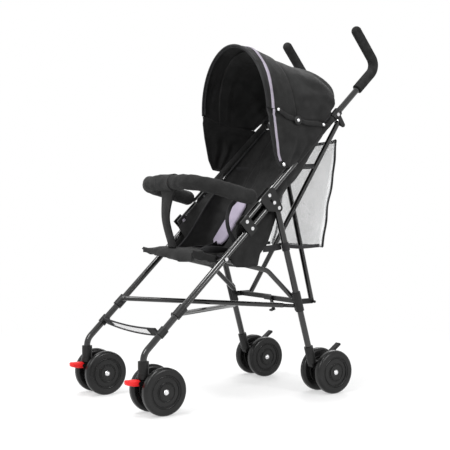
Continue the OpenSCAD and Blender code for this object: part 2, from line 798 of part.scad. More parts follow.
// Half of the folding brace: the left half lies in front
module brace_bar(s) {
  front = brace_y + (s > 0 ? -brace_t - pass_gap / 2 : pass_gap / 2);
  tilt = atan(brace_rise);
  color([0.09, 0.09, 0.10])
    difference() {
      translate([0, brace_y, brace_z]) rotate([tilt, 0, 0]) translate([0, -brace_y, -brace_z])
        union() {
          translate([s > 0 ? -brace_lap : -brace_pivot_x, front, brace_z - brace_h / 2])
            cube([brace_pivot_x + brace_lap, brace_t, brace_h]);
          translate([s * brace_pivot_x, front, brace_z])
            rotate([-90, 0, 0]) cylinder(d = brace_h, h = brace_t);
        }
      rod([s * brace_pivot_x, brace_y - 20, brace_z - 20 * brace_rise],
          [s * brace_pivot_x, brace_y + 20, brace_z + 20 * brace_rise], pin_r + run_fit);
    }
  if (s > 0)
    color([0.78, 0.79, 0.80])
      translate([0, brace_y, brace_z]) rotate([tilt, 0, 0])
        translate([28, -brace_t - 2 * pass_gap - 6, 0]) rotate([-90, 0, 0]) cylinder(r = pin_r, h = 8);
}

module brace_lock() {
  tilt = atan(brace_rise);
  color([0.07, 0.07, 0.075])
    translate([0, brace_y, brace_z]) rotate([tilt, 0, 0])
      difference() {
        union() {
          translate([22, -brace_t - pass_gap - 4, -hook_len]) cube([12, 4, hook_len + 8]);
          translate([22, -brace_t - pass_gap - 14, -hook_len]) cube([12, 14, 5]);
        }
        translate([28, -40, 0]) rotate([-90, 0, 0]) cylinder(r = pin_r + run_fit, h = 80);
      }
}

// Hood cloth: each row is an arch from the side at base up to top, both [y, z]
function hood_arch(base, top, n) =
  [for (k = [0:n])
    let (b = 180 * k / n, c = cos(b), rise = pow(sin(b), hood_square))
    [hood_half_w * sign(c) * pow(abs(c), hood_square), base[0] + (top[0] - base[0]) * rise,
     base[1] + (top[1] - base[1]) * rise]];
arm_tip = hood_at + arm_len * arm_way;
hood_half_w = link_x - hood_t / 2 - pass_gap / 2;
function turned(a, r) = hood_at + r * [cos(a), sin(a)];
hood_rim = turned(hood_front_a, hood_front_r);
rim_foot = arm_tip - [rim_ahead, -rim_ahead / 6];

// The ridge runs straight back from the rim, then rounds the hump to the back edge
ridge_end = hood_at + [hood_ridge_y, hood_ridge_z];
hump = hood_at + [hood_hump_y, hood_hump_z];
back_end = turned(hood_back_a, hood_back_r);
hood_seam = hood_rim + (ridge_end - hood_rim) * front_share;
function back_top(f) =
  let (t = (f - 0.4) / 0.6, start = hood_seam - [0, hood_nest])
  f < 0.4 ? start + (ridge_end - start) * f / 0.4
          : (1 - t) * (1 - t) * ridge_end + 2 * t * (1 - t) * hump + t * t * back_end;

module hood_front() {
  rows = 5;
  color([0.05, 0.05, 0.055])
    shell([for (i = [0:rows])
      let (f = i / rows)
      hood_arch(rim_foot + (hood_at - rim_foot) * f, hood_rim + (hood_seam - hood_rim) * f, 22)], hood_t);
}

module hood_back() {
  rows = 10;
  foot = clip_at - [back_foot, -back_foot / 6] - hood_at;
  color([0.05, 0.05, 0.055])
    shell([for (i = [0:rows])
      let (f = i / rows)
      hood_arch(hood_at + foot * (0.06 + 0.94 * f), back_top(f), 22)], hood_t);
}

// Tube of n sides along a list of points that lie in one plane with normal w
module swept(pts, r, n, w) {
  m = len(pts);
  ring = [for (i = [0:m - 1])
    let (t = unit(pts[min(i + 1, m - 1)] - pts[max(i - 1, 0)]), u = unit(cross(t, w)))
    for (k = [0:n - 1]) pts[i] + r * (cos(360 * k / n) * u + sin(360 * k / n) * w)];
  sides = [for (i = [0:m - 2]) for (k = [0:n - 1])
    let (a = i * n + k, b = i * n + (k + 1) % n)
    each [[a, b, b + n], [a, b + n, a + n]]];
  caps = [for (k = [1:n - 2]) each [[0, k + 1, k], [(m - 1) * n, (m - 1) * n + k, (m - 1) * n + k + 1]]];
  polyhedron(concat(ring, pts), concat(sides, caps), convexity = 6);
}

// The hoop runs just inside the front rim
hoop_foot = rim_foot + [5, 0];
ridge_way = unit(ridge_end - hood_rim);
hoop_under = hoop_d / 2 + hood_t / 2 + 2 * pass_gap;
hoop_top = hood_rim + (hoop_d + 1) * ridge_way + hoop_under * [ridge_way[1], -ridge_way[0]];
hoop_way = unit(hoop_top - hoop_foot);
hoop_in = 1 - (hoop_d / 2 + hood_t / 2 + pass_gap) / hood_half_w;
hoop_line = [for (p = hood_arch(hoop_foot, hoop_top, 26)) [p[0] * hoop_in, p[1], p[2]]];
module hood_hoop() {
  color([0.12, 0.12, 0.12])
    swept(hoop_line, hoop_d / 2, 10, [0, -hoop_way[1], hoop_way[0]]);
}

// Soft goods

// The seat lies along the rails
rail_slope = (rail_bend_z - rail_pivot[1]) / (rail_bend_y - rail_pivot[0]);
function base_mid_z(y) = rail_pivot[1] + (y - rail_pivot[0]) * rail_slope;

// Sling back: rows run up the back, columns run from the left side wall round to the right one
sling_low = [6, base_mid_z(6) + base_crown / 2 + 6];
sling_mid = [108, 556];
sling_top = on_push(top_joint_u - 16, 20);
function sling_back(f) =
  f < 0.5 ? sling_low + (sling_mid - sling_low) * f * 2 : sling_mid + (sling_top - sling_mid) * (f * 2 - 1);
function ease(t) = let (c = min(max(t, 0), 1)) c * c * (3 - 2 * c);
module sling() {
  rows = 14;
  cols = 22;
  wide = side_x - sleeve_r - sling_t / 2 - pass_gap;
  color([0.055, 0.055, 0.06])
    shell([for (i = [0:rows])
      let (f = i / rows, back = sling_back(f),
           half = sling_half_w + (wide - sling_half_w) * ease((f - 0.62) / 0.2),
           front_y = on_push((back[1] - hub_z) / sin(lean))[0] + 4 + 58 * (1 - ease(f / 0.6)),
           deep = back[0] - front_y, belly = 12 * sin(180 * f))
      [for (j = [0:cols])
        let (a = 180 * j / cols, c = cos(a), s = sin(a), y = front_y + deep * pow(s, 0.5) + belly * s * s)
        [half * sign(c) * pow(abs(c), 0.45), y,
         back[1] + rail_slope * (y - back[0]) * pow(1 - f, 3)]]], sling_t);
}

// Padded seat with a crown, drawn-in edges and a soft cross channel
module base() {
  nx = 16;
  ny = 12;
  half = rail_x - rail_r - pass_gap;
  function edge(f, p) = pow(max(1 - pow(abs(2 * f - 1), p), 0), 0.5);
  function high(fx, fy) =
    2 + (base_crown / 2 - 2) * edge(fx, 6) * edge(fy, 4) * (1 - 0.25 * exp(-pow((fy - 0.5) / 0.06, 2)));
  function at(i, j, k) =
    let (fx = j / nx, fy = i / ny, y = base_front_y + base_depth * fy)
    [half * (2 * fx - 1) * (1 - 0.05 * pow(abs(2 * fy - 1), 6)), y, base_mid_z(y) + k * high(fx, fy)];
  top = [for (i = [0:ny]) for (j = [0:nx]) at(i, j, 1)];
  low = [for (i = [0:ny]) for (j = [0:nx]) at(i, j, -0.6)];
  color([0.06, 0.06, 0.065]) closed_grid(top, low, ny + 1, nx + 1);
}

// Padded bumper bar, a U that starts in front of the hubs
bumper_r = bumper_d / 2;
bumper_way = [-cos(bumper_rise), sin(bumper_rise)];
bumper_off = (bumper_r + tube_r + pass_gap / 2) / sin(lean + bumper_rise);
bumper_from = on_push(-bumper_drop) + bumper_off * bumper_way;
bumper_reach = (bumper_from[0] - bumper_front_y) / cos(bumper_rise);
module bumper_bar() {
  half = side_x - 3;
  elbow_y = -(bumper_reach - bumper_corner_r);
  color([0.05, 0.05, 0.055])
    translate([0, bumper_from[0], bumper_from[1]]) rotate([-bumper_rise, 0, 0]) {
      for (s = [-1, 1]) {
        capsule([s * half, elbow_y, 0], [s * half, 0, 0], bumper_r);
        translate([s * (half - bumper_corner_r), elbow_y, 0])
          rotate([0, 0, (s > 0 ? -90 : 180) + seam_a])
            rotate_extrude(angle = 90 - 2 * seam_a) translate([bumper_corner_r, 0]) circle(bumper_r);
      }
      rod([bumper_corner_r - half, -bumper_reach, 0], [half - bumper_corner_r, -bumper_reach, 0],
          bumper_r);
    }
}

// Crotch strap from the bumper's middle down to the seat's front
module crotch_strap() {
  strap_t = 4;
  top = bumper_from + bumper_reach * bumper_way + [0, -bumper_r - pass_gap];
  low = [base_front_y + 14, base_mid_z(base_front_y + 14) + base_crown / 2 + pass_gap];
  color([0.05, 0.05, 0.055])
    side_plane(-crotch_w / 2) linear_extrude(crotch_w)
      polygon([top + [-strap_t / 2, 0], top + [strap_t / 2, 0],
               low + [strap_t / 2, 0], low + [-strap_t / 2, 0]]);
}

// Flat mesh bag on the back of the rear cross, open at its top
function cross_back_y(z) =
  rear_low_y + (z - rear_low_z) * (rear_top[0] - rear_low_y) / (rear_top[1] - rear_low_z)
  + rear_split / 2 + rear_bar_d * 0.515 + pass_gap / 2;
function bag_wall(z, push) = [cross_back_y(z) + push, z];
module storage_bag() {
  top = bag_top_z;
  low = bag_low_z;
  mid = (top + low) / 2;
  t = bag_t;
  color([0.72, 0.74, 0.76])
    difference() {
      side_plane(-bag_half_w) linear_extrude(2 * bag_half_w)
        polygon([bag_wall(top, 0), bag_wall(low, 0), bag_wall(low, 16), bag_wall(low + 30, bag_deep * 0.85),
                 bag_wall(mid - 40, bag_deep), bag_wall(mid + 40, bag_deep), bag_wall(top, bag_mouth)]);
      side_plane(-bag_half_w + t) linear_extrude(2 * (bag_half_w - t))
        polygon([bag_wall(top + 9, t), bag_wall(low + t, t), bag_wall(low + t, 16 - t),
                 bag_wall(low + 30, bag_deep * 0.85 - t), bag_wall(mid - 40, bag_deep - t),
                 bag_wall(mid + 40, bag_deep - t), bag_wall(top + 9, bag_mouth - t)]);
    }
}

// Footrest strap across the front legs
module footrest_strap() {
  n = 16;
  half = side_x - sleeve_r - pass_gap;
  color([0.10, 0.10, 0.11])
    shell([for (k = [0, 1])
      [for (j = [0:n])
        let (f = 2 * j / n - 1)
        [half * f, foot_at[0] - 4 + foot_w * (0.5 - k) * behind[0],
         foot_at[1] - foot_sag * (1 - f * f) + foot_w * (0.5 - k) * behind[1]]]], 3);
}

// Nodes

handle_tube();  // handle_tube_left
handle_grip();  // handle_grip_left
front_leg();  // front_leg_left
side_brackets(1);  // side_brackets_left
rivets();  // rivets_left
caster_socket();  // caster_socket_left
hood_link();  // hood_link_left
hood_wing();  // hood_wing_left
on_right() handle_tube();  // handle_tube_right
on_right() handle_grip();  // handle_grip_right
on_right() front_leg();  // front_leg_right
on_right() side_brackets(-1);  // side_brackets_right
on_right() rivets();  // rivets_right
on_right() caster_socket();  // caster_socket_right
on_right() hood_link();  // hood_link_right
on_right() hood_wing();  // hood_wing_right
rear_leg();  // rear_leg_left
rear_foot();  // rear_foot_left
rear_bracket();  // rear_bracket_left
axle(rear_axle);  // rear_axle_left
on_right() rear_leg();  // rear_leg_right
on_right() rear_foot();  // rear_foot_right
on_right() rear_bracket();  // rear_bracket_right
on_right() axle(rear_axle);  // rear_axle_right
caster_fork();  // caster_fork_left
axle(front_axle);  // front_axle_left
swivel_lock();  // swivel_lock_left
on_right() caster_fork();  // caster_fork_right
on_right() axle(front_axle);  // front_axle_right
on_right() swivel_lock();  // swivel_lock_right
wheel_out = side_x + wheel_gap / 2 + wheel_w / 2;
wheel_in = side_x - wheel_gap / 2 - wheel_w / 2;
wheel(front_axle, wheel_out);  // front_wheel_left_outer
wheel(front_axle, wheel_in);  // front_wheel_left_inner
wheel(front_axle, -wheel_out);  // front_wheel_right_outer
wheel(front_axle, -wheel_in);  // front_wheel_right_inner
wheel(rear_axle, wheel_out);  // rear_wheel_left_outer
wheel(rear_axle, wheel_in);  // rear_wheel_left_inner
wheel(rear_axle, -wheel_out);  // rear_wheel_right_outer
wheel(rear_axle, -wheel_in);  // rear_wheel_right_inner
brake_pedal();  // brake_pedal_left
on_right() brake_pedal();  // brake_pedal_right
seat_rail();  // seat_rail_left
on_right() seat_rail();  // seat_rail_right
lower_bar(1);  // lower_bar_left
lower_bar(-1);  // lower_bar_right
rear_bar(1);  // rear_bar_left
rear_bar(-1);  // rear_bar_right
brace_bar(1);  // brace_bar_left
brace_bar(-1);  // brace_bar_right
brace_lock();
hood_arm();  // hood_arm_left
on_right() hood_arm();  // hood_arm_right
hood_front();
hood_hoop();
hood_back();
sling();  // seat_sling
base();  // seat_base
bumper_bar();
crotch_strap();
storage_bag();
footrest_strap();
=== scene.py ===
# %% [markdown]
# A folding umbrella stroller, dressed for the camera.
# The frame comes from a CAD model: tubes, joints, wheels and brackets are already true to size.
# This lesson adds what a solid model does badly: cloth, padding, webbing, net and surface finish.
# Every length is in metres. The front is -Y, and +X is the side nearer to the camera.

# %% Load the frame
import math

import bmesh
import bpy
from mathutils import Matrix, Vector, noise


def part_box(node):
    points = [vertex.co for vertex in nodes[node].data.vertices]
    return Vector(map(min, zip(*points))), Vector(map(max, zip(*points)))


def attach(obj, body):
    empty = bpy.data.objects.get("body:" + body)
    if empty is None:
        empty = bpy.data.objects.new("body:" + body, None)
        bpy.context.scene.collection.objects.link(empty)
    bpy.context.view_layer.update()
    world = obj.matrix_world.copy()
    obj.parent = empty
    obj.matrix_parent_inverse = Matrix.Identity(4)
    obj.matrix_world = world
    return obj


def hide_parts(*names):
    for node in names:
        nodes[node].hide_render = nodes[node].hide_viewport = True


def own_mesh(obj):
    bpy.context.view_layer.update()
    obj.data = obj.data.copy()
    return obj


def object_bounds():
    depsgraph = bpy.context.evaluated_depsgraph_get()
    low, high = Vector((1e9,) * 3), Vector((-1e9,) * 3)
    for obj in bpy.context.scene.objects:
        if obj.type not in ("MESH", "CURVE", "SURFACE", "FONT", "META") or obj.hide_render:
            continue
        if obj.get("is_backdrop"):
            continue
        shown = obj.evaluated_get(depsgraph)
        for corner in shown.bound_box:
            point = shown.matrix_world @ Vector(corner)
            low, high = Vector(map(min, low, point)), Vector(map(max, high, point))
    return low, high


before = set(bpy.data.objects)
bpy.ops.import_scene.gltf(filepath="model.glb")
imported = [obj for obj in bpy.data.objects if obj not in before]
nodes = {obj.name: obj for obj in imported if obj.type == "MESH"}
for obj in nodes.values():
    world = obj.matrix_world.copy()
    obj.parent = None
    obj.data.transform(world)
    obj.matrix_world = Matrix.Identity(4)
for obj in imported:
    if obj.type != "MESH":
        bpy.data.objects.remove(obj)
cad_low, cad_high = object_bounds()
scene = bpy.context.scene
print("frame size", [round(v, 3) for v in cad_high - cad_low], "nodes", len(nodes))

# %% [markdown]
# The side of the stroller is a flat drawing in Y and Z, so most places are named on it.
# The push tube leans back by 44 degrees from a hub. A point on it is a distance up from the hub,
# and a second distance square to the tube, toward the back.

# %% Places on the side frame
SIDES = (("left", 1), ("right", -1))
LEAN = math.radians(44)
HUB = (0.018, 0.568)
TOP_JOINT_UP = 0.339
SIDE_X = 0.170
TUBE_R = 0.009


def on_push(up, back=0.0):
    y = HUB[0] + up * math.cos(LEAN) + back * math.sin(LEAN)
    z = HUB[1] + up * math.sin(LEAN) - back * math.cos(LEAN)
    return y, z


def ease(t):
    t = min(max(t, 0.0), 1.0)
    return t * t * (3 - 2 * t)


def mix(a, b, t):
    return a + (b - a) * t


def mix2(a, b, t):
    return mix(a[0], b[0], t), mix(a[1], b[1], t)


def along_line(points, t):
    """Point at share t of a polyline, by its length."""
    steps = [(Vector(b) - Vector(a)).length for a, b in zip(points, points[1:])]
    left = t * sum(steps)
    for a, b, step in zip(points, points[1:], steps):
        if left <= step:
            return Vector(a).lerp(Vector(b), left / step)
        left -= step
    return Vector(points[-1])


print("top of the push tube's joint", [round(v, 3) for v in on_push(TOP_JOINT_UP)])

# %% [markdown]
# Three ways of making a mesh do nearly all the soft goods.
# A grid is cloth: rows of points, with its size kept as UV so that a weave has the right scale.
# A tube follows a line and can change its radius, for piping, binding and padded bars.
# A ribbon is webbing: a flat band with rounded edges along a line.
# Curves with a bevel could make the last two, but these are plain meshes.

# %% Cloth as a grid


def link_mesh(name, mesh, finish):
    """Smooth-shaded piece in the scene, from a mesh and its finish."""
    mesh.polygons.foreach_set("use_smooth", [True] * len(mesh.polygons))
    mesh.update()
    piece = bpy.data.objects.new(name, mesh)
    scene.collection.objects.link(piece)
    mesh.materials.append(finish)
    return piece


def add_piece(name, points, faces, uvs, finish):
    mesh = bpy.data.meshes.new(name)
    mesh.from_pydata([tuple(p) for p in points], [], faces)
    layer = mesh.uv_layers.new(name="cloth")
    for loop in mesh.loops:
        layer.data[loop.index].uv = uvs[loop.vertex_index]
    return link_mesh(name, mesh, finish)


def row_lengths(row):
    out = [0.0]
    for a, b in zip(row, row[1:]):
        out.append(out[-1] + (Vector(b) - Vector(a)).length)
    return out


def grid_piece(name, rows, finish, closed=False):
    """Cloth from rows of points; closed joins each row's end to its start."""
    wide = len(rows[0])
    points = [p for row in rows for p in row]
    up = row_lengths([row[wide // 2] for row in rows])
    uvs = []
    for row, v in zip(rows, up):
        uvs.extend((u, v) for u in row_lengths(row))
    faces = []
    for i in range(len(rows) - 1):
        for j in range(wide if closed else wide - 1):
            a, b = i * wide + j, i * wide + (j + 1) % wide
            faces.append((a, b, b + wide, a + wide))
    return add_piece(name, points, faces, uvs, finish)


def grid_of(place, rows, cols):
    """Rows of points from a function of two shares, down and across."""
    return [[place(i / rows, j / cols) for j in range(cols + 1)] for i in range(rows + 1)]


def bake_modifiers(piece):
    """Turns the piece with its modifiers into a plain mesh."""
    view = bpy.context.evaluated_depsgraph_get()
    mesh = bpy.data.meshes.new_from_object(piece.evaluated_get(view))
    piece.modifiers.clear()
    piece.data = mesh
    return piece


def thicken(piece, thick, offset=0.0):
    shell = piece.modifiers.new("thickness", "SOLIDIFY")
    shell.thickness = thick
    shell.offset = offset
    shell.use_even_offset = True
    return bake_modifiers(piece)


print("grid helpers ready")

# %% Tubes along a line


def flow_frames(path):
    """A steady pair of side directions at each point of a line."""
    path = [Vector(p) for p in path]
    out = []
    side = None
    for i, p in enumerate(path):
        ahead = (path[min(i + 1, len(path) - 1)] - path[max(i - 1, 0)]).normalized()
        if side is None:
            side = ahead.orthogonal()
        side = (side - ahead * side.dot(ahead)).normalized()
        out.append((p, side, ahead.cross(side).normalized()))
    return out


def tube_piece(name, path, radius, finish, ring=10, flat=1.0, across=None):
    """Tube with closed ends. radius is a number, or a function of share and angle."""
    frames = flow_frames(path)
    lengths = row_lengths([f[0] for f in frames])
    rows = []
    for (p, a, b), run in zip(frames, lengths):
        if across is not None:
            a = Vector(across)
            b = Vector(across).cross(a.cross(b)).normalized() if abs(a.dot(b)) > 0.9 else b
            b = (b - a * b.dot(a)).normalized()
        row = []
        for k in range(ring):
            w = 2 * math.pi * k / ring
            r = radius(run / lengths[-1], w) if callable(radius) else radius
            row.append(p + a * (r * math.cos(w)) + b * (r * flat * math.sin(w)))
        rows.append(row)
    piece = grid_piece(name, rows, finish, closed=True)
    cap_ends(piece, ring)
    return piece


def cap_ends(piece, ring):
    bm = bmesh.new()
    bm.from_mesh(piece.data)
    bmesh.ops.holes_fill(bm, edges=[e for e in bm.edges if e.is_boundary], sides=ring)
    bmesh.ops.recalc_face_normals(bm, faces=bm.faces)
    bm.to_mesh(piece.data)
    bm.free()


print("tube helper ready")

# %% Ribbons and turned parts


def ribbon_piece(name, path, across, width, thick, finish):
    """Flat webbing along a line; across is its width direction, one or one for each point."""
    path = [Vector(p) for p in path]
    profile = [(-0.5, -0.25), (-0.5, 0.25), (-0.46, 0.5), (0.46, 0.5), (0.5, 0.25),
               (0.5, -0.25), (0.46, -0.5), (-0.46, -0.5)]
    rows = []
    for i, p in enumerate(path):
        ahead = (path[min(i + 1, len(path) - 1)] - path[max(i - 1, 0)]).normalized()
        side = Vector(across[i] if isinstance(across[0], (tuple, list, Vector)) else across)
        side = (side - ahead * side.dot(ahead)).normalized()
        face = ahead.cross(side)
        wide = width[i] if isinstance(width, (list, tuple)) else width
        rows.append([p + side * (u * wide) + face * (v * thick) for u, v in profile])
    piece = grid_piece(name, rows, finish, closed=True)
    cap_ends(piece, len(profile))
    return piece


def lathe_piece(name, centre, axis, profile, finish, turns=40):
    """Turned part: profile is a list of (distance along the axis, radius)."""
    axis = Vector(axis).normalized()
    a = axis.orthogonal().normalized()
    b = axis.cross(a)
    rows = []
    for run, r in profile:
        c = Vector(centre) + axis * run
        rows.append([c + (a * math.cos(2 * math.pi * k / turns) + b * math.sin(2 * math.pi * k / turns)) * r
                     for k in range(turns)])
    piece = grid_piece(name, rows, finish, closed=True)
    cap_ends(piece, turns)
    return piece


print("ribbon and turned part helpers ready")

# %% [markdown]
# A piece that is added says which body of the frame it moves with.
# A sheet's flat size is measured on its own grid, and the measure is not kept.

# %% Riding and cutting


def cut_sheet(rows):
    """Measures a grid's flat size from its longest row and column, and keeps nothing."""
    wide = max(row_lengths(row)[-1] for row in rows)
    tall = max(row_lengths(column)[-1] for column in zip(*rows))
    for row, below in zip(rows, rows[1:]):
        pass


def settle(pieces, body, keep=None):
    """Pieces ride on a body; with any keep, each also gets a mesh of its own."""
    for piece in pieces:
        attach(piece, body)
        if keep is not None:
            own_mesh(piece)


print("riding helpers ready")

# %% Smooth lines and soft noise


def smooth_line(points, count):
    """Catmull-Rom curve through the points, as count points."""
    pts = [Vector(p) for p in points]
    pts = [2 * pts[0] - pts[1]] + pts + [2 * pts[-1] - pts[-2]]
    out = []
    spans = len(pts) - 3
    for i in range(count):
        t = i / (count - 1) * spans
        k = min(int(t), spans - 1)
        t -= k
        p0, p1, p2, p3 = pts[k:k + 4]
        out.append(0.5 * (2 * p1 + (p2 - p0) * t + (2 * p0 - 5 * p1 + 4 * p2 - p3) * t * t
                          + (3 * p1 - p0 - 3 * p2 + p3) * t ** 3))
    return out


def crumple(p, scale, seed=0.0):
    """Smooth value between -1 and 1 that depends only on the place."""
    return noise.noise(Vector(p) * scale + Vector((seed, seed * 0.7, -seed)))


print("line and noise helpers ready")

# %% [markdown]
# Finishes. Black things differ by how they throw light back, so each black has its own recipe:
# enamel is mirror-like under a clear coat, moulded plastic has a fine grain, foam is dull and pitted,
# and cloth has a weave, a soft sheen at its edges and uneven dye.

# %% A start for every finish


def start_finish(name, colour, rough, metal=0.0):
    finish = bpy.data.materials.new(name)
    finish.use_nodes = True
    shader = finish.node_tree.nodes["Principled BSDF"]
    shader.inputs["Base Color"].default_value = (*colour, 1)
    shader.inputs["Roughness"].default_value = rough
    shader.inputs["Metallic"].default_value = metal
    return finish, finish.node_tree, shader


def add_node(tree, kind, **settings):
    node = tree.nodes.new(kind)
    for key, value in settings.items():
        if key in node.inputs:
            node.inputs[key].default_value = value
        else:
            setattr(node, key, value)
    return node


def grain(tree, scale, detail=3.0):
    """Noise fixed to the piece."""
    place = add_node(tree, "ShaderNodeTexCoord")
    speck = add_node(tree, "ShaderNodeTexNoise", Scale=scale, Detail=detail)
    tree.links.new(place.outputs["Object"], speck.inputs["Vector"])
    return speck.outputs["Fac"]


# A noise seldom leaves the middle of its range
NOISE_LOW = 0.3
NOISE_HIGH = 0.7


def spread(tree, value, low, high):
    """Maps the middle of a noise onto low and high."""
    ends = {"From Min": NOISE_LOW, "From Max": NOISE_HIGH, "To Min": low, "To Max": high}
    node = add_node(tree, "ShaderNodeMapRange", **ends)
    tree.links.new(value, node.inputs["Value"])
    return node.outputs["Result"]


def rough_spots(tree, shader, scale, low, high):
    """Roughness that wanders between two values."""
    tree.links.new(spread(tree, grain(tree, scale), low, high), shader.inputs["Roughness"])


def two_tone(tree, value, dark, light, socket):
    """Two colours, mixed by the middle of a noise."""
    ramp = add_node(tree, "ShaderNodeValToRGB")
    ramp.color_ramp.elements[0].position = NOISE_LOW
    ramp.color_ramp.elements[1].position = NOISE_HIGH
    ramp.color_ramp.elements[0].color = (*dark, 1)
    ramp.color_ramp.elements[1].color = (*light, 1)
    tree.links.new(value, ramp.inputs["Fac"])
    tree.links.new(ramp.outputs["Color"], socket)


def bump(tree, shader, value, strength, depth):
    node = add_node(tree, "ShaderNodeBump", Strength=strength, Distance=depth)
    tree.links.new(value, node.inputs["Height"])
    tree.links.new(node.outputs["Normal"], shader.inputs["Normal"])


print("finish helpers ready")

# %% [markdown]
# Hard finishes. The tubes are black enamel: a faint orange-peel ripple keeps the highlights lively.
# Bright metal has fine brushing, red plastic and black plastic have a moulded grain.
# A flat colour would be quicker, but the noise in colour, roughness and height is what tells them apart.

# %% Hard finishes
BLACK_SPECULAR = 0.30


def enamel(name, dark, light, rough):
    finish, tree, shader = start_finish(name, dark, rough)
    two_tone(tree, grain(tree, 14), dark, light, shader.inputs["Base Color"])
    rough_spots(tree, shader, 55, rough * 0.8, rough * 1.3)
    bump(tree, shader, grain(tree, 420, 2), 0.05, 0.0004)
    shader.inputs["Specular IOR Level"].default_value = BLACK_SPECULAR
    shader.inputs["Coat Weight"].default_value = 0.8
    shader.inputs["Coat Roughness"].default_value = 0.07
    return finish


def moulded(name, dark, light, rough, grain_size=900, depth=0.0003):
    finish, tree, shader = start_finish(name, dark, rough)
    two_tone(tree, grain(tree, 22), dark, light, shader.inputs["Base Color"])
    rough_spots(tree, shader, 70, rough * 0.85, rough * 1.2)
    bump(tree, shader, grain(tree, grain_size, 2), 0.25, depth)
    shader.inputs["Specular IOR Level"].default_value = BLACK_SPECULAR
    return finish


def bright(name, dark, light, rough):
    finish, tree, shader = start_finish(name, light, rough, 1.0)
    two_tone(tree, grain(tree, 160), dark, light, shader.inputs["Base Color"])
    rough_spots(tree, shader, 300, rough * 0.7, rough * 1.4)
    bump(tree, shader, grain(tree, 1400, 1), 0.08, 0.0002)
    return finish


def grey(value):
    return value, value, value


black_enamel = enamel("black_enamel", grey(0.003), grey(0.007), 0.18)
black_plastic = moulded("black_plastic", grey(0.004), grey(0.009), 0.42)
wheel_plastic = moulded("wheel_plastic", grey(0.004), grey(0.009), 0.30, 500)
grip_foam = moulded("grip_foam", grey(0.006), grey(0.013), 0.85, 1100, 0.0009)
lock_red = moulded("lock_red", (0.62, 0.012, 0.014), (0.80, 0.022, 0.022), 0.38)
rivet_steel = bright("rivet_steel", (0.62, 0.62, 0.63), (0.86, 0.86, 0.87), 0.24)
print("hard finishes ready")

# %% [markdown]
# Cloth. The weave is drawn from two crossed waves in the UV of each piece, whose units are metres,
# so the threads have one real pitch on every piece. A slow noise changes the dye,
# and a quicker one ruffles the surface like soft creases.
# A picture of a weave could do it too, but it would need a file and would blur close by.

# %% Cloth finishes
CLOTH_SPECULAR = 0.22
CLOTH_SHEEN = 0.05


def thread_wave(tree, direction, pitch):
    place = add_node(tree, "ShaderNodeTexCoord")
    wave = add_node(tree, "ShaderNodeTexWave", wave_type="BANDS", bands_direction=direction,
                    Scale=math.pi / (10 * pitch), Distortion=0.4, Detail=1.0)
    tree.links.new(place.outputs["UV"], wave.inputs["Vector"])
    return wave.outputs["Fac"]


def join(tree, a, b, how):
    node = add_node(tree, "ShaderNodeMath", operation=how)
    for value, socket in ((a, node.inputs[0]), (b, node.inputs[1])):
        if isinstance(value, float):
            socket.default_value = value
        else:
            tree.links.new(value, socket)
    return node.outputs["Value"]


def woven(name, dark, light, rough, pitch, ruffle=0.6):
    finish, tree, shader = start_finish(name, dark, rough)
    warp = join(tree, thread_wave(tree, "X", pitch), 0.5, "SUBTRACT")
    weft = join(tree, thread_wave(tree, "Y", pitch), 0.5, "SUBTRACT")
    cross = join(tree, warp, weft, "MULTIPLY")
    fleck = join(tree, grain(tree, 24, 5), join(tree, cross, 0.5, "MULTIPLY"), "ADD")
    two_tone(tree, fleck, dark, light, shader.inputs["Base Color"])
    rough_spots(tree, shader, 40, rough * 0.9, min(rough * 1.1, 1.0))
    creases = join(tree, grain(tree, 34, 4), ruffle * 6, "MULTIPLY")
    bump(tree, shader, join(tree, cross, creases, "ADD"), 0.4, 0.0012)
    shader.inputs["Specular IOR Level"].default_value = CLOTH_SPECULAR
    shader.inputs["Sheen Weight"].default_value = CLOTH_SHEEN
    shader.inputs["Sheen Roughness"].default_value = 0.5
    return finish


black_cloth = woven("black_cloth", grey(0.006), grey(0.015), 0.84, 0.0016)
seat_cloth = woven("seat_cloth", grey(0.006), grey(0.016), 0.82, 0.0018, 0.8)
lavender_cloth = woven("lavender_cloth", (0.36, 0.32, 0.41), (0.46, 0.41, 0.51), 0.75, 0.0014, 0.3)
lavender_tape = woven("lavender_tape", (0.25, 0.225, 0.275), (0.33, 0.30, 0.36), 0.75, 0.0014, 0.3)
webbing = woven("webbing", (0.008, 0.008, 0.009), (0.024, 0.024, 0.025), 0.66, 0.0022, 0.15)
binding = woven("binding", (0.006, 0.006, 0.007), (0.018, 0.018, 0.019), 0.7, 0.0015, 0.2)
print("cloth finishes ready")

# %% [markdown]
# Net. A bag of knitted net is mostly holes, so the threads are drawn and the rest is let through.
# Alpha from the crossed waves does it: thin pale threads, nearly clear holes, and the real pitch of the knit.

# %% Net finish
# Share of light that a hole holds back, and how much more a thread does
NET_HOLE = 0.06
NET_THREAD = 0.24


def knitted_net(name, colour, pitch, open_share):
    """Net of crossed threads; a thread starts where the waves pass open_share."""
    finish, tree, shader = start_finish(name, colour, 0.6)
    two_tone(tree, grain(tree, 18), tuple(c * 0.82 for c in colour), colour, shader.inputs["Base Color"])
    thread = join(tree, thread_wave(tree, "X", pitch), thread_wave(tree, "Y", pitch), "MAXIMUM")
    solid = join(tree, thread, open_share, "GREATER_THAN")
    veil = join(tree, join(tree, solid, NET_THREAD, "MULTIPLY"), NET_HOLE, "ADD")
    tree.links.new(veil, shader.inputs["Alpha"])
    bump(tree, shader, thread, 0.3, 0.0006)
    return finish


bag_net = knitted_net("bag_net", (0.92, 0.93, 0.94), 0.0026, 0.74)
foot_net = knitted_net("foot_net", (0.50, 0.50, 0.51), 0.0030, 0.66)
print("net finishes ready")

# %% [markdown]
# The frame's own nodes keep their shapes. Each gets a finish by what it is made of.
# Picking one by hand for each of them would be slow, so a list of name starts does it.

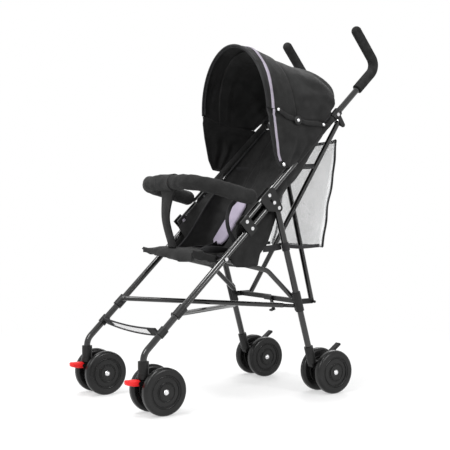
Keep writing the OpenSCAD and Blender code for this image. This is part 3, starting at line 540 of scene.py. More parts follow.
# %% Dress the frame
FINISH_BY_NAME = [
    ("handle_tube", black_enamel), ("front_leg", black_enamel), ("rear_leg", black_enamel),
    ("seat_rail", black_enamel), ("lower_bar", black_enamel), ("rear_bar", black_enamel),
    ("brace_bar", black_plastic), ("brace_lock", black_plastic),
    ("handle_grip", grip_foam), ("rivets", rivet_steel), ("rear_axle", rivet_steel),
    ("front_axle", rivet_steel), ("swivel_lock", lock_red), ("hood_hoop", black_plastic),
    ("front_wheel", wheel_plastic), ("rear_wheel", wheel_plastic),
    ("hood_link", black_cloth), ("hood_arm", black_cloth),
]
for name, part in nodes.items():
    finish = next((f for start, f in FINISH_BY_NAME if name.startswith(start)), black_plastic)
    part.data.materials.clear()
    part.data.materials.append(finish)
print("dressed", len(nodes), "nodes")

# %% [markdown]
# The hood is cloth stretched over a hoop. Its front half turns with the hoop about a pivot on each side,
# and its back half stays with the seat, tucked a little under the front half.
# A cloth simulation over the hoop could make it, but its outline would be hard to steer.
# So each half is a fan of arches from the front edge to the back edge, one curved sheet.

# %% Hood arches
TOP_JOINT = on_push(TOP_JOINT_UP)
HOOD_AHEAD = 0.147
HOOD_BELOW = 0.0235
HOOD_AT = (TOP_JOINT[0] - HOOD_AHEAD, TOP_JOINT[1] - HOOD_BELOW)
HOOD_HALF = 0.1781
RIM_HALF = 0.1705
ARM_LONG = 0.075
ARM_RISE = math.radians(23)
ARM_TIP = (HOOD_AT[0] - ARM_LONG * math.cos(ARM_RISE), HOOD_AT[1] + ARM_LONG * math.sin(ARM_RISE))
RIM_AHEAD = 0.026
RIM_FOOT = (ARM_TIP[0] - RIM_AHEAD, ARM_TIP[1] + 0.004)
LINK_DROP = 0.010
CLIP_AT = on_push((HOOD_AT[1] - LINK_DROP - HUB[1]) / math.sin(LEAN))
# How full each arch is: 1 is an ellipse, less is squarer, more is leaner
RIM_POWER = 1.02
SEAM_POWER = 0.96
BACK_POWER = 0.64


def turned(angle, r):
    return HOOD_AT[0] + r * math.cos(math.radians(angle)), HOOD_AT[1] + r * math.sin(math.radians(angle))


def hood_point(base, top, b, power, half=HOOD_HALF):
    """Place on an arch: b runs from 0 on the near side to pi on the far side."""
    c = math.cos(b)
    rise = max(math.sin(b), 0.0) ** power
    y, z = mix2(base, top, rise)
    return Vector((half * math.copysign(abs(c) ** power, c), y, z))


# The ridge over the middle: a short peak, straight down to the back, then a hump
HOOP_TOP = turned(111, 0.244)
RIDGE_TOP = (0.250, 0.920)
SEAM_TOP = mix2(HOOP_TOP, RIDGE_TOP, 0.31)
NEST = 0.007
FRONT_TOPS = smooth_line([(0, 0.008, 1.0050), (0, 0.040, 1.0015), (0, SEAM_TOP[0], SEAM_TOP[1] + 0.005)], 101)
BACK_RIDGE = [(0, SEAM_TOP[0], SEAM_TOP[1] - 0.002), (0, 0.172, 0.961), (0, 0.240, 0.942), (0, 0.288, 0.912),
              (0, 0.299, 0.868), (0, 0.270, 0.829)]
BACK_TOPS = smooth_line(BACK_RIDGE, 101)


def along_tops(tops, f):
    k = min(max(f, 0.0), 1.0) * 100
    i = min(int(k), 99)
    return tops[i].lerp(tops[i + 1], k - i).yz


def front_place(f, b):
    base = mix2(RIM_FOOT, HOOD_AT, f)
    power, half = mix(RIM_POWER, SEAM_POWER, f), mix(RIM_HALF, HOOD_HALF, f)
    return hood_point(base, along_tops(FRONT_TOPS, f), b, power, half)


def back_place(f, b):
    if f < 0:
        inset = 0.0015 + NEST * math.sqrt(max(math.sin(b), 0.0))
        under = 1 + 1.6 * f
        return front_place(under, b) - surface_out(front_place, under, b) * inset
    foot = (CLIP_AT[0] - 0.015, CLIP_AT[1] + 0.008)
    base = mix2(HOOD_AT, foot, 0.06 + 0.94 * f)
    return hood_point(base, along_tops(BACK_TOPS, f), b, mix(SEAM_POWER, BACK_POWER, ease(1.25 * f)))


def surface_out(place, f, b):
    """Outward direction of a hood half at a place."""
    e = 0.02
    along_b = place(f, min(b + e, math.pi)) - place(f, max(b - e, 0.0))
    along_f = place(min(f + e, 1.0), b) - place(max(f, e) - e, b)
    out = along_b.cross(along_f).normalized()
    centre = Vector((0, HOOD_AT[0], HOOD_AT[1] + 0.02))
    return out if out.dot(place(f, b) - centre) > 0 else -out


print("hood front rim rises to", round(front_place(0, math.pi / 2).z, 3))

# %% [markdown]
# The cloth is never drum tight. Slow noise lifts it a little, most where it is slack near the pivots,
# and the back half bags out behind as it does on a real hood.
# Sculpting could do it by hand, but noise that depends only on the place comes out the same at every run.

# %% Hood cloth
HOOD_COLS = 96
HOOD_ROWS = 34
FRONT_SLACK = 0.002
FRONT_SEED = 1.0
BACK_SLACK = 0.006
BACK_SEED = 4.0
BACK_TUCK = -0.22
HOOD_THICK = 0.0020
# Creases of the back half: from share and angle, to share and angle, depth, width
CREASES = [
    (0.00, 13, 0.95, 20, 0.0050, 4.5),
    (0.35, 58, 1.00, 30, 0.0042, 6.0),
    (0.70, 78, 1.00, 52, 0.0036, 6.5),
    (0.10, 40, 0.60, 24, 0.0030, 5.0),
]


def creased(f, b):
    """How deep the creases are at a place of the back half, the same on both sides."""
    angle = math.degrees(min(b, math.pi - b))
    deep = 0.0
    for f0, b0, f1, b1, depth, wide in CREASES:
        t = (f - f0) / (f1 - f0)
        if t <= 0 or t >= 1:
            continue
        off = (angle - mix(b0, b1, t)) / wide
        groove = 0.6 * math.exp(-(off - 1.6) ** 2) - math.exp(-off * off)
        deep += depth * math.sin(math.pi * t) ** 0.5 * groove
    return deep


def hood_skin(place, f, b, slack, seed, above=0.0):
    """Slack cloth at a place of the fan, or a height above it."""
    p = place(f, b)
    side = abs(math.cos(b)) ** 3
    held = math.sin(math.pi * min(max(f, 0), 1)) ** 0.6
    lift = slack * held * crumple(p, 16, seed)
    fold = 0.6 * slack * side * held * math.sin(24 * f + 6 * b + 5 * crumple(p, 8, seed))
    deep = creased(f, b) if place is back_place else 0.0
    return p + surface_out(place, f, b) * ((lift + fold + deep) * (1 - side ** 6) + above)


def hood_rows(place, slack, seed, first=0.0):
    """Rows of the fan from share first to the end; first below 0 tucks under the other half."""
    shares = [mix(first, 1, i / HOOD_ROWS) for i in range(HOOD_ROWS + 1)]
    angles = [math.pi * j / HOOD_COLS for j in range(HOOD_COLS + 1)]
    return [[hood_skin(place, f, b, slack, seed) for b in angles] for f in shares]


hood_front_rows = hood_rows(front_place, FRONT_SLACK, FRONT_SEED)
hood_back_rows = hood_rows(back_place, BACK_SLACK, BACK_SEED, BACK_TUCK)
hood_front = thicken(grid_piece("hood_front_cloth", hood_front_rows, black_cloth), HOOD_THICK)
hood_back = thicken(grid_piece("hood_back_cloth", hood_back_rows, black_cloth), HOOD_THICK)
print("hood cloth faces", len(hood_front.data.polygons), len(hood_back.data.polygons))

# %% [markdown]
# A hood is finished with edge binding, and this one has a raised strip of pale cloth behind its front edge.
# The strip follows the arch at a steady distance, so its share of the fan grows toward the pivots.
# Painting it on the cloth would be simpler, but a strip of its own catches the light along its edges.

# %% Hood binding and pale strip


def strip_share(b, gap):
    """Share of the fan that lies gap behind the front edge at angle b."""
    f = 0.0
    last = front_place(0, b)
    run = 0.0
    while run < gap and f < 0.95:
        f += 0.005
        p = front_place(f, b)
        run += (p - last).length
        last = p
    return f


STRIP_ACROSS = (-0.5, -0.46, -0.25, 0.0, 0.25, 0.46, 0.5)


def arch_strip(name, gap, width, lift, finish):
    rows = []
    for j in range(HOOD_COLS + 1):
        b = math.pi * (0.004 + 0.992 * j / HOOD_COLS)
        row = []
        for u in STRIP_ACROSS:
            f = strip_share(b, gap + 0.019 * math.sin(b) ** 2 + width * (u + 0.5))
            high = 0.0006 + lift * (1 - (2 * u) ** 4)
            row.append(hood_skin(front_place, max(f, 0.01), b, FRONT_SLACK, FRONT_SEED, high + 0.0012))
        rows.append(row)
    return grid_piece(name, rows, finish)


pale_strip = arch_strip("hood_pale_strip", 0.0135, 0.0096, 0.0018, lavender_tape)
rim_line = [front_place(0, math.pi * j / HOOD_COLS) for j in range(HOOD_COLS + 1)]
rim_binding = tube_piece("hood_rim_binding", rim_line, 0.0034, binding, 10)
HOOP_SHARE = 0.06
hoop_line = []
for j in range(HOOD_COLS + 1):
    b = math.pi * (0.01 + 0.98 * j / HOOD_COLS)
    hoop_line.append(front_place(HOOP_SHARE, b) - surface_out(front_place, HOOP_SHARE, b) * 0.0040)
hoop = tube_piece("hood_hoop_wire", hoop_line, 0.0030, binding, 10)
back_line = [back_place(1, math.pi * j / 72) for j in range(73)]
back_binding = tube_piece("hood_back_binding", back_line, 0.0026, binding, 8)
print("strip faces", len(pale_strip.data.polygons))

# %% Hood rides
HOOD_KEEP = 0.44
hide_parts("hood_front")
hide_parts("hood_back")
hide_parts("hood_hoop")
settle((hood_front, pale_strip, rim_binding), "canopy", HOOD_KEEP)
settle((hoop,), "canopy", HOOD_KEEP)
settle((hood_back, back_binding), "seat", HOOD_KEEP)
cut_sheet(hood_front_rows)
cut_sheet(hood_back_rows)
print("hood rides on canopy and seat")

# %% [markdown]
# Below the pivot the hood's side hangs as a wing of cloth down to the push tube.
# A flat panel would do from afar, but the real one has loose folds that run down it.
# So it is a patch between a front edge and the tube, and a wave across it makes the folds.

# %% Hood wings
WING_X = 0.1808
WING_TUCK_X = 0.1756
WING_ROWS = 40
WING_COLS = 36
WING_FRONT = [(0, 0.020, 0.812), (0, 0.029, 0.748), (0, 0.0435, 0.680),
              (0, 0.0575, 0.651), (0, 0.088, 0.6465)]
WING_BACK = [(0, 0.212, 0.775), (0, 0.206, 0.756), (0, 0.170, 0.716),
             (0, 0.124, 0.670), (0, 0.0915, 0.6470)]
WING_TOP = [(0, 0.020, 0.812), (0, 0.112, 0.789), (0, 0.212, 0.775)]


def wing_place(u, v):
    front, back = along_line(WING_FRONT, v), along_line(WING_BACK, v)
    flat = front.lerp(back, u)
    top = along_line(WING_TOP, u)
    straight = Vector(WING_TOP[0]).lerp(Vector(WING_TOP[-1]), u)
    return flat + (top - straight) * (1 - v) ** 2


def hood_foot_z(y):
    """Height of the hood's lower edge, above which the wing tucks inside."""
    if y < HOOD_AT[0]:
        return mix(RIM_FOOT[1], HOOD_AT[1], (y - RIM_FOOT[0]) / (HOOD_AT[0] - RIM_FOOT[0]))
    return mix(HOOD_AT[1], CLIP_AT[1], (y - HOOD_AT[0]) / (CLIP_AT[0] - HOOD_AT[0]))


def wing_rows(side):
    def place(v, u):
        p = wing_place(u, v)
        drop = hood_foot_z(p.y) - p.z
        base = mix(WING_TUCK_X, WING_X, ease((drop - 0.010) / 0.012)) - 0.0075 * (1 - ease(2.2 * u))
        room = ease((drop - 0.022) / 0.03) * math.sin(math.pi * u) ** 0.7
        room *= math.sin(math.pi * min(v, 0.98))
        fold = 0.0034 + 0.0032 * math.sin(17 * u + 3 * crumple(p, 14, 2.0)) + 0.0014 * crumple(p, 40, 3.0)
        return Vector((side * (base + room * fold), p.y, p.z))

    return grid_of(place, WING_ROWS, WING_COLS)


for tag, side in SIDES:
    rows = wing_rows(side)
    wing = thicken(grid_piece("hood_wing_cloth_" + tag, rows, black_cloth), 0.0016)
    hem_line = [row[0] + Vector((side * 0.0006, 0, 0)) for row in rows]
    hem = tube_piece("hood_wing_hem_" + tag, hem_line, 0.0024, binding, 8)
    trim = []
    lean = []
    for i, row in enumerate(rows[:32]):
        x = max(abs(row[3].x) + 0.0018, mix(0.1758, 0.170, ease(i / 6)))
        trim.append(Vector((side * x, row[3].y + 0.002, row[3].z)))
        lean.append(row[5] - row[1])
    pale = ribbon_piece("hood_wing_strip_" + tag, trim, lean, 0.0070, 0.0018, lavender_tape)
    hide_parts("hood_wing_" + tag)
    settle((wing, hem, pale), "side_" + tag)
    cut_sheet(rows)

# %% [markdown]
# The seat back is a sling: one padded sheet that runs from one side wall round the back to the other.
# Sewn channels pull it in, so it puffs between them. It is held open by the tubes at its front edges.
# A cloth solver could puff it, but its edges have to meet the frame, so two formulas draw and puff it.

# %% Sling shape
RAIL_PIVOT = (-0.1236, 0.3951)
RAIL_END = (0.035, 0.358)
RAIL_SLOPE = (RAIL_END[1] - RAIL_PIVOT[1]) / (RAIL_END[0] - RAIL_PIVOT[0])


def seat_mid_z(y):
    return RAIL_PIVOT[1] + (y - RAIL_PIVOT[0]) * RAIL_SLOPE


SLING_LOW = (0.006, seat_mid_z(0.006) + 0.019)
SLING_MID = (0.108, 0.556)
SLING_TOP = on_push(0.323, 0.020)
SLING_HALF = 0.136
SLING_WIDE = 0.1549
# How square the sling is in plan: 1 is an ellipse
SLING_SQUARE = 0.45


def sling_place(f, a):
    """f runs up the back, a runs from the near wall (0) round to the far wall (pi)."""
    back = mix2(SLING_LOW, SLING_MID, 2 * f) if f < 0.5 else mix2(SLING_MID, SLING_TOP, 2 * f - 1)
    half = mix(SLING_HALF, SLING_WIDE, ease((f - 0.54) / 0.16))
    front_y = on_push((back[1] - HUB[1]) / math.sin(LEAN))[0] + 0.004 + 0.058 * (1 - ease(f / 0.6))
    c, s = math.cos(a), max(math.sin(a), 0.0)
    deep = back[0] - front_y
    y = front_y + deep * s ** 0.5 + 0.012 * math.sin(math.pi * f) * s * s
    z = back[1] + RAIL_SLOPE * (y - back[0]) * (1 - f) ** 3
    return Vector((half * math.copysign(abs(c) ** SLING_SQUARE, c), y, z))


def channel(f, a):
    """Depth of the sewn channels, 1 on a seam."""
    deep = 0.0
    for seam in (0.30, 0.70):
        deep = max(deep, math.exp(-((a / math.pi - seam) / 0.010) ** 2))
    for seam in (0.36, 0.70):
        inside = ease((a / math.pi - 0.28) / 0.03) * ease((0.72 - a / math.pi) / 0.03)
        deep = max(deep, inside * math.exp(-((f - seam) / 0.012) ** 2))
    return deep


print("sling top", [round(v, 3) for v in sling_place(1, math.pi / 2)])

# %% [markdown]
# The sheet has two skins. Both bulge away from each other between the channels,
# and noise adds the slack folds that run down the walls.

# %% Sling cloth
SLING_ROWS = 60
SLING_COLS = 110


def sling_out(f, a):
    e = 0.006
    da = sling_place(f, min(a + e, math.pi - 1e-4)) - sling_place(f, max(a - e, 1e-4))
    df = sling_place(min(f + e, 1), a) - sling_place(max(f - e, 0), a)
    n = da.cross(df)
    n = n.normalized() if n.length > 1e-12 else Vector((math.cos(a), math.sin(a), 0))
    return n if n.dot(Vector((math.cos(a), math.sin(a), -0.1))) > 0 else -n


def sling_skin(way):
    rows = []
    for i in range(SLING_ROWS + 1):
        f = i / SLING_ROWS
        row = []
        for j in range(SLING_COLS + 1):
            a = min(max(math.pi * j / SLING_COLS, 0.012), math.pi - 0.012)
            p = sling_place(f, a)
            hold = min(1, 9 * min(f, 1 - f)) * min(1, 14 * min(j, SLING_COLS - j) / SLING_COLS)
            puff = 0.0012 + 0.0022 * hold * (1 - channel(f, a))
            pleat = math.sin(120 * p.x + 5 * crumple((p.x, 0.2, p.z), 9, 5.0)) * (1 - ease((f - 0.45) / 0.35))
            slack = 0.0040 * crumple((p.x * 1.7, p.y, p.z * 0.3), 22, 6.0) + 0.0014 * crumple(p, 60, 7.0)
            slack = hold * (slack + 0.0036 * pleat)
            row.append(p + sling_out(f, a) * (way * puff + slack))
        rows.append(row)
    return rows


outer, inner = sling_skin(1), sling_skin(-1)
loop_rows = [o + list(reversed(i)) for o, i in zip(outer, inner)]
sling = grid_piece("seat_back_cloth", loop_rows, seat_cloth, closed=True)
cap_ends(sling, 2 * (SLING_COLS + 1))
print("sling faces", len(sling.data.polygons))

# %% Sling edges


def mid_line(line_a, line_b):
    return [(a + b) / 2 for a, b in zip(line_a, line_b)]


sling_edges = []
for tag, col in (("left", 0), ("right", SLING_COLS)):
    line = mid_line([row[col] for row in outer], [row[col] for row in inner])
    sling_edges.append(tube_piece("seat_back_edge_" + tag, line, 0.0034, binding, 8))
sling_edges.append(tube_piece("seat_back_top_edge", mid_line(outer[-1], inner[-1]), 0.0034, binding, 8))
sling_edges.append(tube_piece("seat_back_low_edge", mid_line(outer[0], inner[0]), 0.0032, binding, 8))
SLING_KEEP = 0.33
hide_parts("seat_sling")
settle([sling, *sling_edges], "seat", SLING_KEEP)
print("sling rides on the seat")

# %% [markdown]
# The seat is a thin cushion between the rails. It starts as a closed pillow a little smaller than the space,
# and Blender's cloth solver blows it up while its sewn lines and its rim are held.
# That gives the drawn-in sides and the puckers that a formula misses.

# %% Seat cushion form
BASE_FRONT = -0.198
BASE_DEPTH = 0.196
BASE_HALF = 0.1404
BASE_CROWN = 0.026
BASE_NX = 56
BASE_NY = 40


def cushion_rim(f, power):
    return max(1 - abs(2 * f - 1) ** power, 0.0) ** 0.5


def cushion_place(fx, fy, way):
    y = BASE_FRONT + 0.002 + (BASE_DEPTH - 0.004) * fy
    high = 0.0012 + (BASE_CROWN / 2 - 0.004) * cushion_rim(fx, 6) * cushion_rim(fy, 4)
    high *= 1 - 0.55 * math.exp(-((fy - 0.5) / 0.035) ** 2) * (way > 0)
    x = (BASE_HALF - 0.002) * (2 * fx - 1) * (1 - 0.05 * abs(2 * fy - 1) ** 6)
    return Vector((x, y, seat_mid_z(y) + way * high * (1 if way > 0 else 0.6)))


def pillow(name, place, nx, ny, finish):
    """Closed pillow: an upper and a lower grid that share their rim."""
    points, uvs, faces = [], [], []
    index = {}
    for way in (1, -1):
        for i in range(ny + 1):
            for j in range(nx + 1):
                rim = i in (0, ny) or j in (0, nx)
                key = (i, j, 0 if rim else way)
                if key in index:
                    continue
                index[key] = len(points)
                p = place(j / nx, i / ny, way)
                if rim:
                    p = (p + place(j / nx, i / ny, -way)) / 2
                points.append(p)
                uvs.append((p.x, p.y))
    for way in (1, -1):
        for i in range(ny):
            for j in range(nx):
                ring = []
                for a, b in ((i, j), (i, j + 1), (i + 1, j + 1), (i + 1, j)):
                    rim = a in (0, ny) or b in (0, nx)
                    ring.append(index[(a, b, 0 if rim else way)])
                faces.append(tuple(ring) if way > 0 else tuple(reversed(ring)))
    return add_piece(name, points, faces, uvs, finish), index


cushion, cushion_index = pillow("seat_cushion", cushion_place, BASE_NX, BASE_NY, seat_cloth)
print("cushion points", len(cushion.data.vertices))

# %% Blow up a pillow with the cloth solver
SWELL_FRAMES = 20


def swell(piece, held, pressure, cap):
    """Cloth under pressure with some points held; no point moves further than cap."""
    rest = [v.co.copy() for v in piece.data.vertices]
    group = piece.vertex_groups.new(name="held")
    group.add(held, 1.0, "REPLACE")
    cloth = piece.modifiers.new("puff", "CLOTH")
    cloth.settings.use_pressure = True
    cloth.settings.uniform_pressure_force = pressure
    cloth.settings.vertex_group_mass = "held"
    cloth.settings.quality = 6
    cloth.settings.mass = 0.2
    cloth.settings.tension_stiffness = 12
    cloth.settings.compression_stiffness = 12
    cloth.settings.shear_stiffness = 6
    cloth.settings.bending_stiffness = 0.4
    cloth.settings.effector_weights.gravity = 0
    cloth.collision_settings.use_self_collision = False
    for step in range(1, SWELL_FRAMES + 1):
        scene.frame_set(step)
    view = bpy.context.evaluated_depsgraph_get()
    moved = [v.co.copy() for v in piece.evaluated_get(view).data.vertices]
    piece.modifiers.clear()
    piece.vertex_groups.clear()
    scene.frame_set(1)
    most = 0.0
    for vertex, a, b in zip(piece.data.vertices, rest, moved):
        step = b - a
        if step.length > cap:
            step = step.normalized() * cap
        vertex.co = a + step
        most = max(most, step.length)
    piece.data.update()
    return most


held = []
for (i, j, way), k in cushion_index.items():
    seam = way > 0 and i == BASE_NY // 2
    line = way > 0 and j in (BASE_NX // 4, 3 * BASE_NX // 4) and i > BASE_NY // 2
    if way == 0 or seam or line:
        held.append(k)
print("cushion swelled by", round(swell(cushion, held, 3.0, 0.006), 4))

# %% Cushion finish
for vertex in cushion.data.vertices:
    p = vertex.co
    inside = max(0.0, 1 - (abs(p.x) / BASE_HALF) ** 6)
    vertex.co.z += inside * 0.0012 * crumple((p.x, p.y * 0.5, p.z), 55, 9.0)
cushion.data.update()
rim = [cushion_place(t / 40, 0, 1) * 0.5 + cushion_place(t / 40, 0, -1) * 0.5 for t in range(41)]
front_hem = tube_piece("seat_front_hem", rim, 0.0030, binding, 8)
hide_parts("seat_base")
settle((cushion, front_hem), "seat_base", SLING_KEEP)
print("cushion rides on the seat rails")

# %% [markdown]
# The cushion's cover ends in a loose flap that falls over the front edge. On this one the far corner curls up
# and the near half hangs lower, so the hem is drawn as a line of heights across the seat.
# A narrow flap at each side closes the cushion's edge down to the rail.

# %% Seat front flap
FLAP_HALF = 0.1365
FLAP_COLS = 60
FLAP_ROWS = 14
# How far the hem's corners are drawn up and back
FLAP_CORNER = 0.007
HEM_HEIGHTS = [(-1.0, 0.4105), (-0.8, 0.4060), (-0.3, 0.4000), (0.0, 0.3965),
               (0.25, 0.3935), (0.62, 0.3900), (1.0, 0.3890)]


def hem_height(u):
    for (u0, z0), (u1, z1) in zip(HEM_HEIGHTS, HEM_HEIGHTS[1:]):
        if u <= u1:
            return mix(z0, z1, ease((u - u0) / (u1 - u0)))
    return HEM_HEIGHTS[-1][1]


def flap_column(u):
    x = FLAP_HALF * u
    top = seat_mid_z(-0.176) + BASE_CROWN / 2 * cushion_rim((u + 1) / 2 * 0.96 + 0.02, 6)
    corner = FLAP_CORNER * abs(u) ** 14
    hem = hem_height(u) + corner
    wave = 0.003 * math.sin(9 * u + 1.0) + 0.002 * crumple((x, 0.1, 0.3), 30, 5.0)
    edge = seat_mid_z(BASE_FRONT)
    line = smooth_line([(x, -0.166, top + 0.0012), (x, -0.186, top - 0.0015),
                        (x, -0.2015, mix(edge, hem, 0.25) + 0.004),
                        (x * 1.01, -0.2065 + wave * 0.4 + corner * 0.4, mix(edge, hem, 0.7)),
                        (x * 1.02, -0.2075 + wave + corner, hem)], FLAP_ROWS + 1)
    return [p + Vector((0, 0, 0.0012 * crumple(p, 45, 8.0))) for p in line]


flap_columns = [flap_column(2 * j / FLAP_COLS - 1) for j in range(FLAP_COLS + 1)]
flap_rows = [list(row) for row in zip(*flap_columns)]
flap = thicken(grid_piece("seat_front_flap", flap_rows, seat_cloth), 0.0026)
flap_hem = tube_piece("seat_flap_hem", flap_rows[-1], 0.0024, binding, 8)
settle((flap, flap_hem), "seat_base", SLING_KEEP)
cut_sheet(flap_rows)

# %% Seat side flaps
SIDE_FLAP_X = 0.1392
SIDE_FLAP_FRONT = -0.2040
SIDE_FLAP_REAR = -0.096
SIDE_FLAP_HEM = 0.380
SIDE_FLAP_COLS = 24
SIDE_FLAP_ROWS = 12


def side_flap_rows(side):
    """Rows from the cushion's side down to a hem that starts at the front flap's corner."""
    corner = flap_rows[-1][FLAP_COLS if side > 0 else 0].z
    rows = []
    for i in range(SIDE_FLAP_ROWS + 1):
        v = i / SIDE_FLAP_ROWS
        row = []
        for j in range(SIDE_FLAP_COLS + 1):
            y = mix(SIDE_FLAP_FRONT, SIDE_FLAP_REAR, j / SIDE_FLAP_COLS)
            hem = min(mix(corner, SIDE_FLAP_HEM, ease(j / SIDE_FLAP_COLS)), seat_mid_z(y) - 0.010)
            z = mix(seat_mid_z(y) + 0.006, hem + 0.0015 * math.sin(0.9 * j), v)
            out = SIDE_FLAP_X + 0.0012 * math.sin(math.pi * v) + 0.0008 * crumple((0.3, y, z), 40, 9.0)
            row.append(Vector((side * out, y, z)))
        rows.append(row)
    return rows


for tag, side in SIDES:
    rows = side_flap_rows(side)
    side_flap = thicken(grid_piece("seat_side_flap_" + tag, rows, seat_cloth), 0.0016)
    settle((side_flap,), "seat_base", SLING_KEEP)
    cut_sheet(rows)
print("flap faces", len(flap.data.polygons))

# %% [markdown]
# At each side a skirt of the same cloth comes down from the seat back, over the rail, to a hem below it.
# It lies in the narrow space between the rail and the legs, so its folds are shallow.
# Its rear edge and hem show in the photograph, and most of its front edge is behind the front leg.
# So it is a patch between three lines: two drawn along what shows and one along the leg.

# %% Seat side skirts
SKIRT_X = 0.1566
SKIRT_TUCK_X = 0.1385
SKIRT_ROWS = 30
SKIRT_COLS = 26
SKIRT_FRONT = [(0, 0.032, 0.548), (0, -0.040, 0.476), (0, -0.084, 0.433),
               (0, -0.096, 0.408), (0, -0.088, 0.383)]
SKIRT_REAR = [(0, 0.078, 0.548), (0, 0.052, 0.475), (0, 0.036, 0.432),
              (0, 0.0125, 0.407), (0, 0.003, 0.377)]
SKIRT_HEM = [(0, -0.088, 0.383), (0, -0.0754, 0.372), (0, -0.030, 0.370), (0, 0.003, 0.377)]


def skirt_place(u, v):
    front, rear = along_line(SKIRT_FRONT, v), along_line(SKIRT_REAR, v)
    straight = Vector(SKIRT_HEM[0]).lerp(Vector(SKIRT_HEM[-1]), u)
    return front.lerp(rear, u) + (along_line(SKIRT_HEM, u) - straight) * v ** 4


def skirt_rows(side):
    def place(v, u):
        p = skirt_place(u, v)
        out = mix(SKIRT_TUCK_X, SKIRT_X, ease(v / 0.22) * ease((1 - u) / 0.10 + 0.25))
        fold = 0.0011 * math.sin(15 * u + 2.5 * crumple(p, 16, 4.0)) * ease(v / 0.3)
        return Vector((side * (out + fold), p.y, p.z))

    return grid_of(place, SKIRT_ROWS, SKIRT_COLS)


for tag, side in SIDES:
    rows = skirt_rows(side)
    skirt = thicken(grid_piece("seat_skirt_" + tag, rows, seat_cloth), 0.0014)
    hem = tube_piece("seat_skirt_hem_" + tag, rows[-1], 0.0014, binding, 8)
    settle((skirt, hem), "seat_rail_" + tag)
    cut_sheet(rows)

# %% [markdown]
# The bumper bar is a hoop in a foam sleeve with a cloth cover. The cover is a little too long,
# so it gathers into soft rings, most of all round the corners.
# A bevelled curve would give an even tube. Here the radius changes along the bar and round it.

# %% Bumper line
BUMPER_R = 0.022
BUMPER_RISE = math.radians(14)
BUMPER_HALF = SIDE_X - 0.003
BUMPER_CORNER = 0.082
BUMPER_FRONT = -0.201
# The bar starts just below the hub, in front of the push tube by the two radii
start = on_push(-0.021)
step = (BUMPER_R + TUBE_R + 0.0003) / math.sin(LEAN + BUMPER_RISE)
BUMPER_FROM = (start[0] - step * math.cos(BUMPER_RISE), start[1] + step * math.sin(BUMPER_RISE))
BUMPER_REACH = (BUMPER_FROM[0] - BUMPER_FRONT) / math.cos(BUMPER_RISE)


def bumper_point(x, run):
    y = BUMPER_FROM[0] - run * math.cos(BUMPER_RISE)
    return Vector((x, y, BUMPER_FROM[1] + run * math.sin(BUMPER_RISE)))


def bumper_line():
    line = []
    arm = BUMPER_REACH - BUMPER_CORNER
    half = BUMPER_HALF - BUMPER_CORNER
    for k in range(24):
        line.append(bumper_point(BUMPER_HALF, mix(-0.016, arm, k / 24)))
    for k in range(24):
        w = math.pi / 2 * k / 24
        line.append(bumper_point(half + BUMPER_CORNER * math.cos(w), arm + BUMPER_CORNER * math.sin(w)))
    for k in range(13):
        line.append(bumper_point(half * (1 - k / 12), BUMPER_REACH))
    return line + [Vector((-p.x, p.y, p.z)) for p in reversed(line[:-1])]


bumper_path = bumper_line()
bumper_run = row_lengths(bumper_path)[-1]
print("bumper length", round(bumper_run, 3))

# %% Bumper cover


def bumper_radius(t, w):
    ends = min(t, 1 - t) * bumper_run
    close = min(1.0, ends / 0.020)
    cap = math.sqrt(max(1 - (1 - close) ** 2, 0.0))
    corner = math.exp(-((min(t, 1 - t) - 0.33) / 0.10) ** 2)
    rings = math.sin(t * bumper_run / 0.0075 + 2.2 * math.sin(w + 9 * t))
    soft = noise.noise(Vector((math.cos(w) * 1.1, math.sin(w) * 1.1, t * 26)))
    seam = math.exp(-((w - 4.4) / 0.10) ** 2)
    fine = noise.noise(Vector((math.cos(w) * 2.4, math.sin(w) * 2.4, t * 70)))
    wave = 0.0006 * rings * (0.35 + corner) + 0.0013 * soft + 0.0007 * fine - 0.0012 * seam
    return max(0.0016, (BUMPER_R - 0.0008 + wave * close) * cap)


bumper = tube_piece("bumper_cover", smooth_line(bumper_path, 260), bumper_radius, black_cloth, 30)
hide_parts("bumper_bar")
print("bumper faces", len(bumper.data.polygons))

# %% [markdown]
# A wrap of the same cloth goes round the bar's middle and narrows to the strap between the legs.
# The wrap is a short sleeve, a little wider than the bar, with a turned hem at each end.
# It is a tube over the first one, because the real wrap is a piece of its own as well.

# %% Bumper wrap and crotch strap
WRAP_HALF = 0.036
wrap_path = [bumper_point(mix(WRAP_HALF, -WRAP_HALF, k / 30), BUMPER_REACH) for k in range(31)]


def wrap_radius(t, w):
    hem = 0.0008 * (math.exp(-(t / 0.03) ** 2) + math.exp(-((1 - t) / 0.03) ** 2))
    return 0.0232 + hem + 0.0004 * math.sin(9 * t + 3 * w)


wrap = tube_piece("bumper_wrap", wrap_path, wrap_radius, seat_cloth, 36)
STRAP_TOP = bumper_point(0, BUMPER_REACH) + Vector((0, 0, -BUMPER_R - 0.0006))
seat_front = BASE_FRONT + 0.010
STRAP_LOW = Vector((0, seat_front, seat_mid_z(seat_front) + BASE_CROWN / 2 + 0.0006))
strap_path = smooth_line([STRAP_TOP + Vector((0, 0, 0.006)), STRAP_TOP + Vector((0, 0, -0.010)),
                          STRAP_TOP.lerp(STRAP_LOW, 0.5) + Vector((0, -0.013, 0)),
                          STRAP_LOW + Vector((0, 0, 0.008)), STRAP_LOW], 40)
strap_wide = [mix(0.088, 0.038, ease((t / 39) / 0.55)) for t in range(40)]
crotch = ribbon_piece("crotch_strap_cloth", strap_path, (1, 0, 0), strap_wide, 0.0065, seat_cloth)
BUMPER_KEEP = 0.45
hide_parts("crotch_strap")
settle((bumper, wrap, crotch), "seat", BUMPER_KEEP)
print("strap length", round(row_lengths(strap_path)[-1], 3))

# %% [markdown]
# The lap harness: a pale padded strap runs from the seat back down to the seat on each side,
# then thin webbing goes on to a side-release buckle that lies on the cushion.
# A pad could be a block with rounded edges. A grid laid along the seat back follows its curve as well.

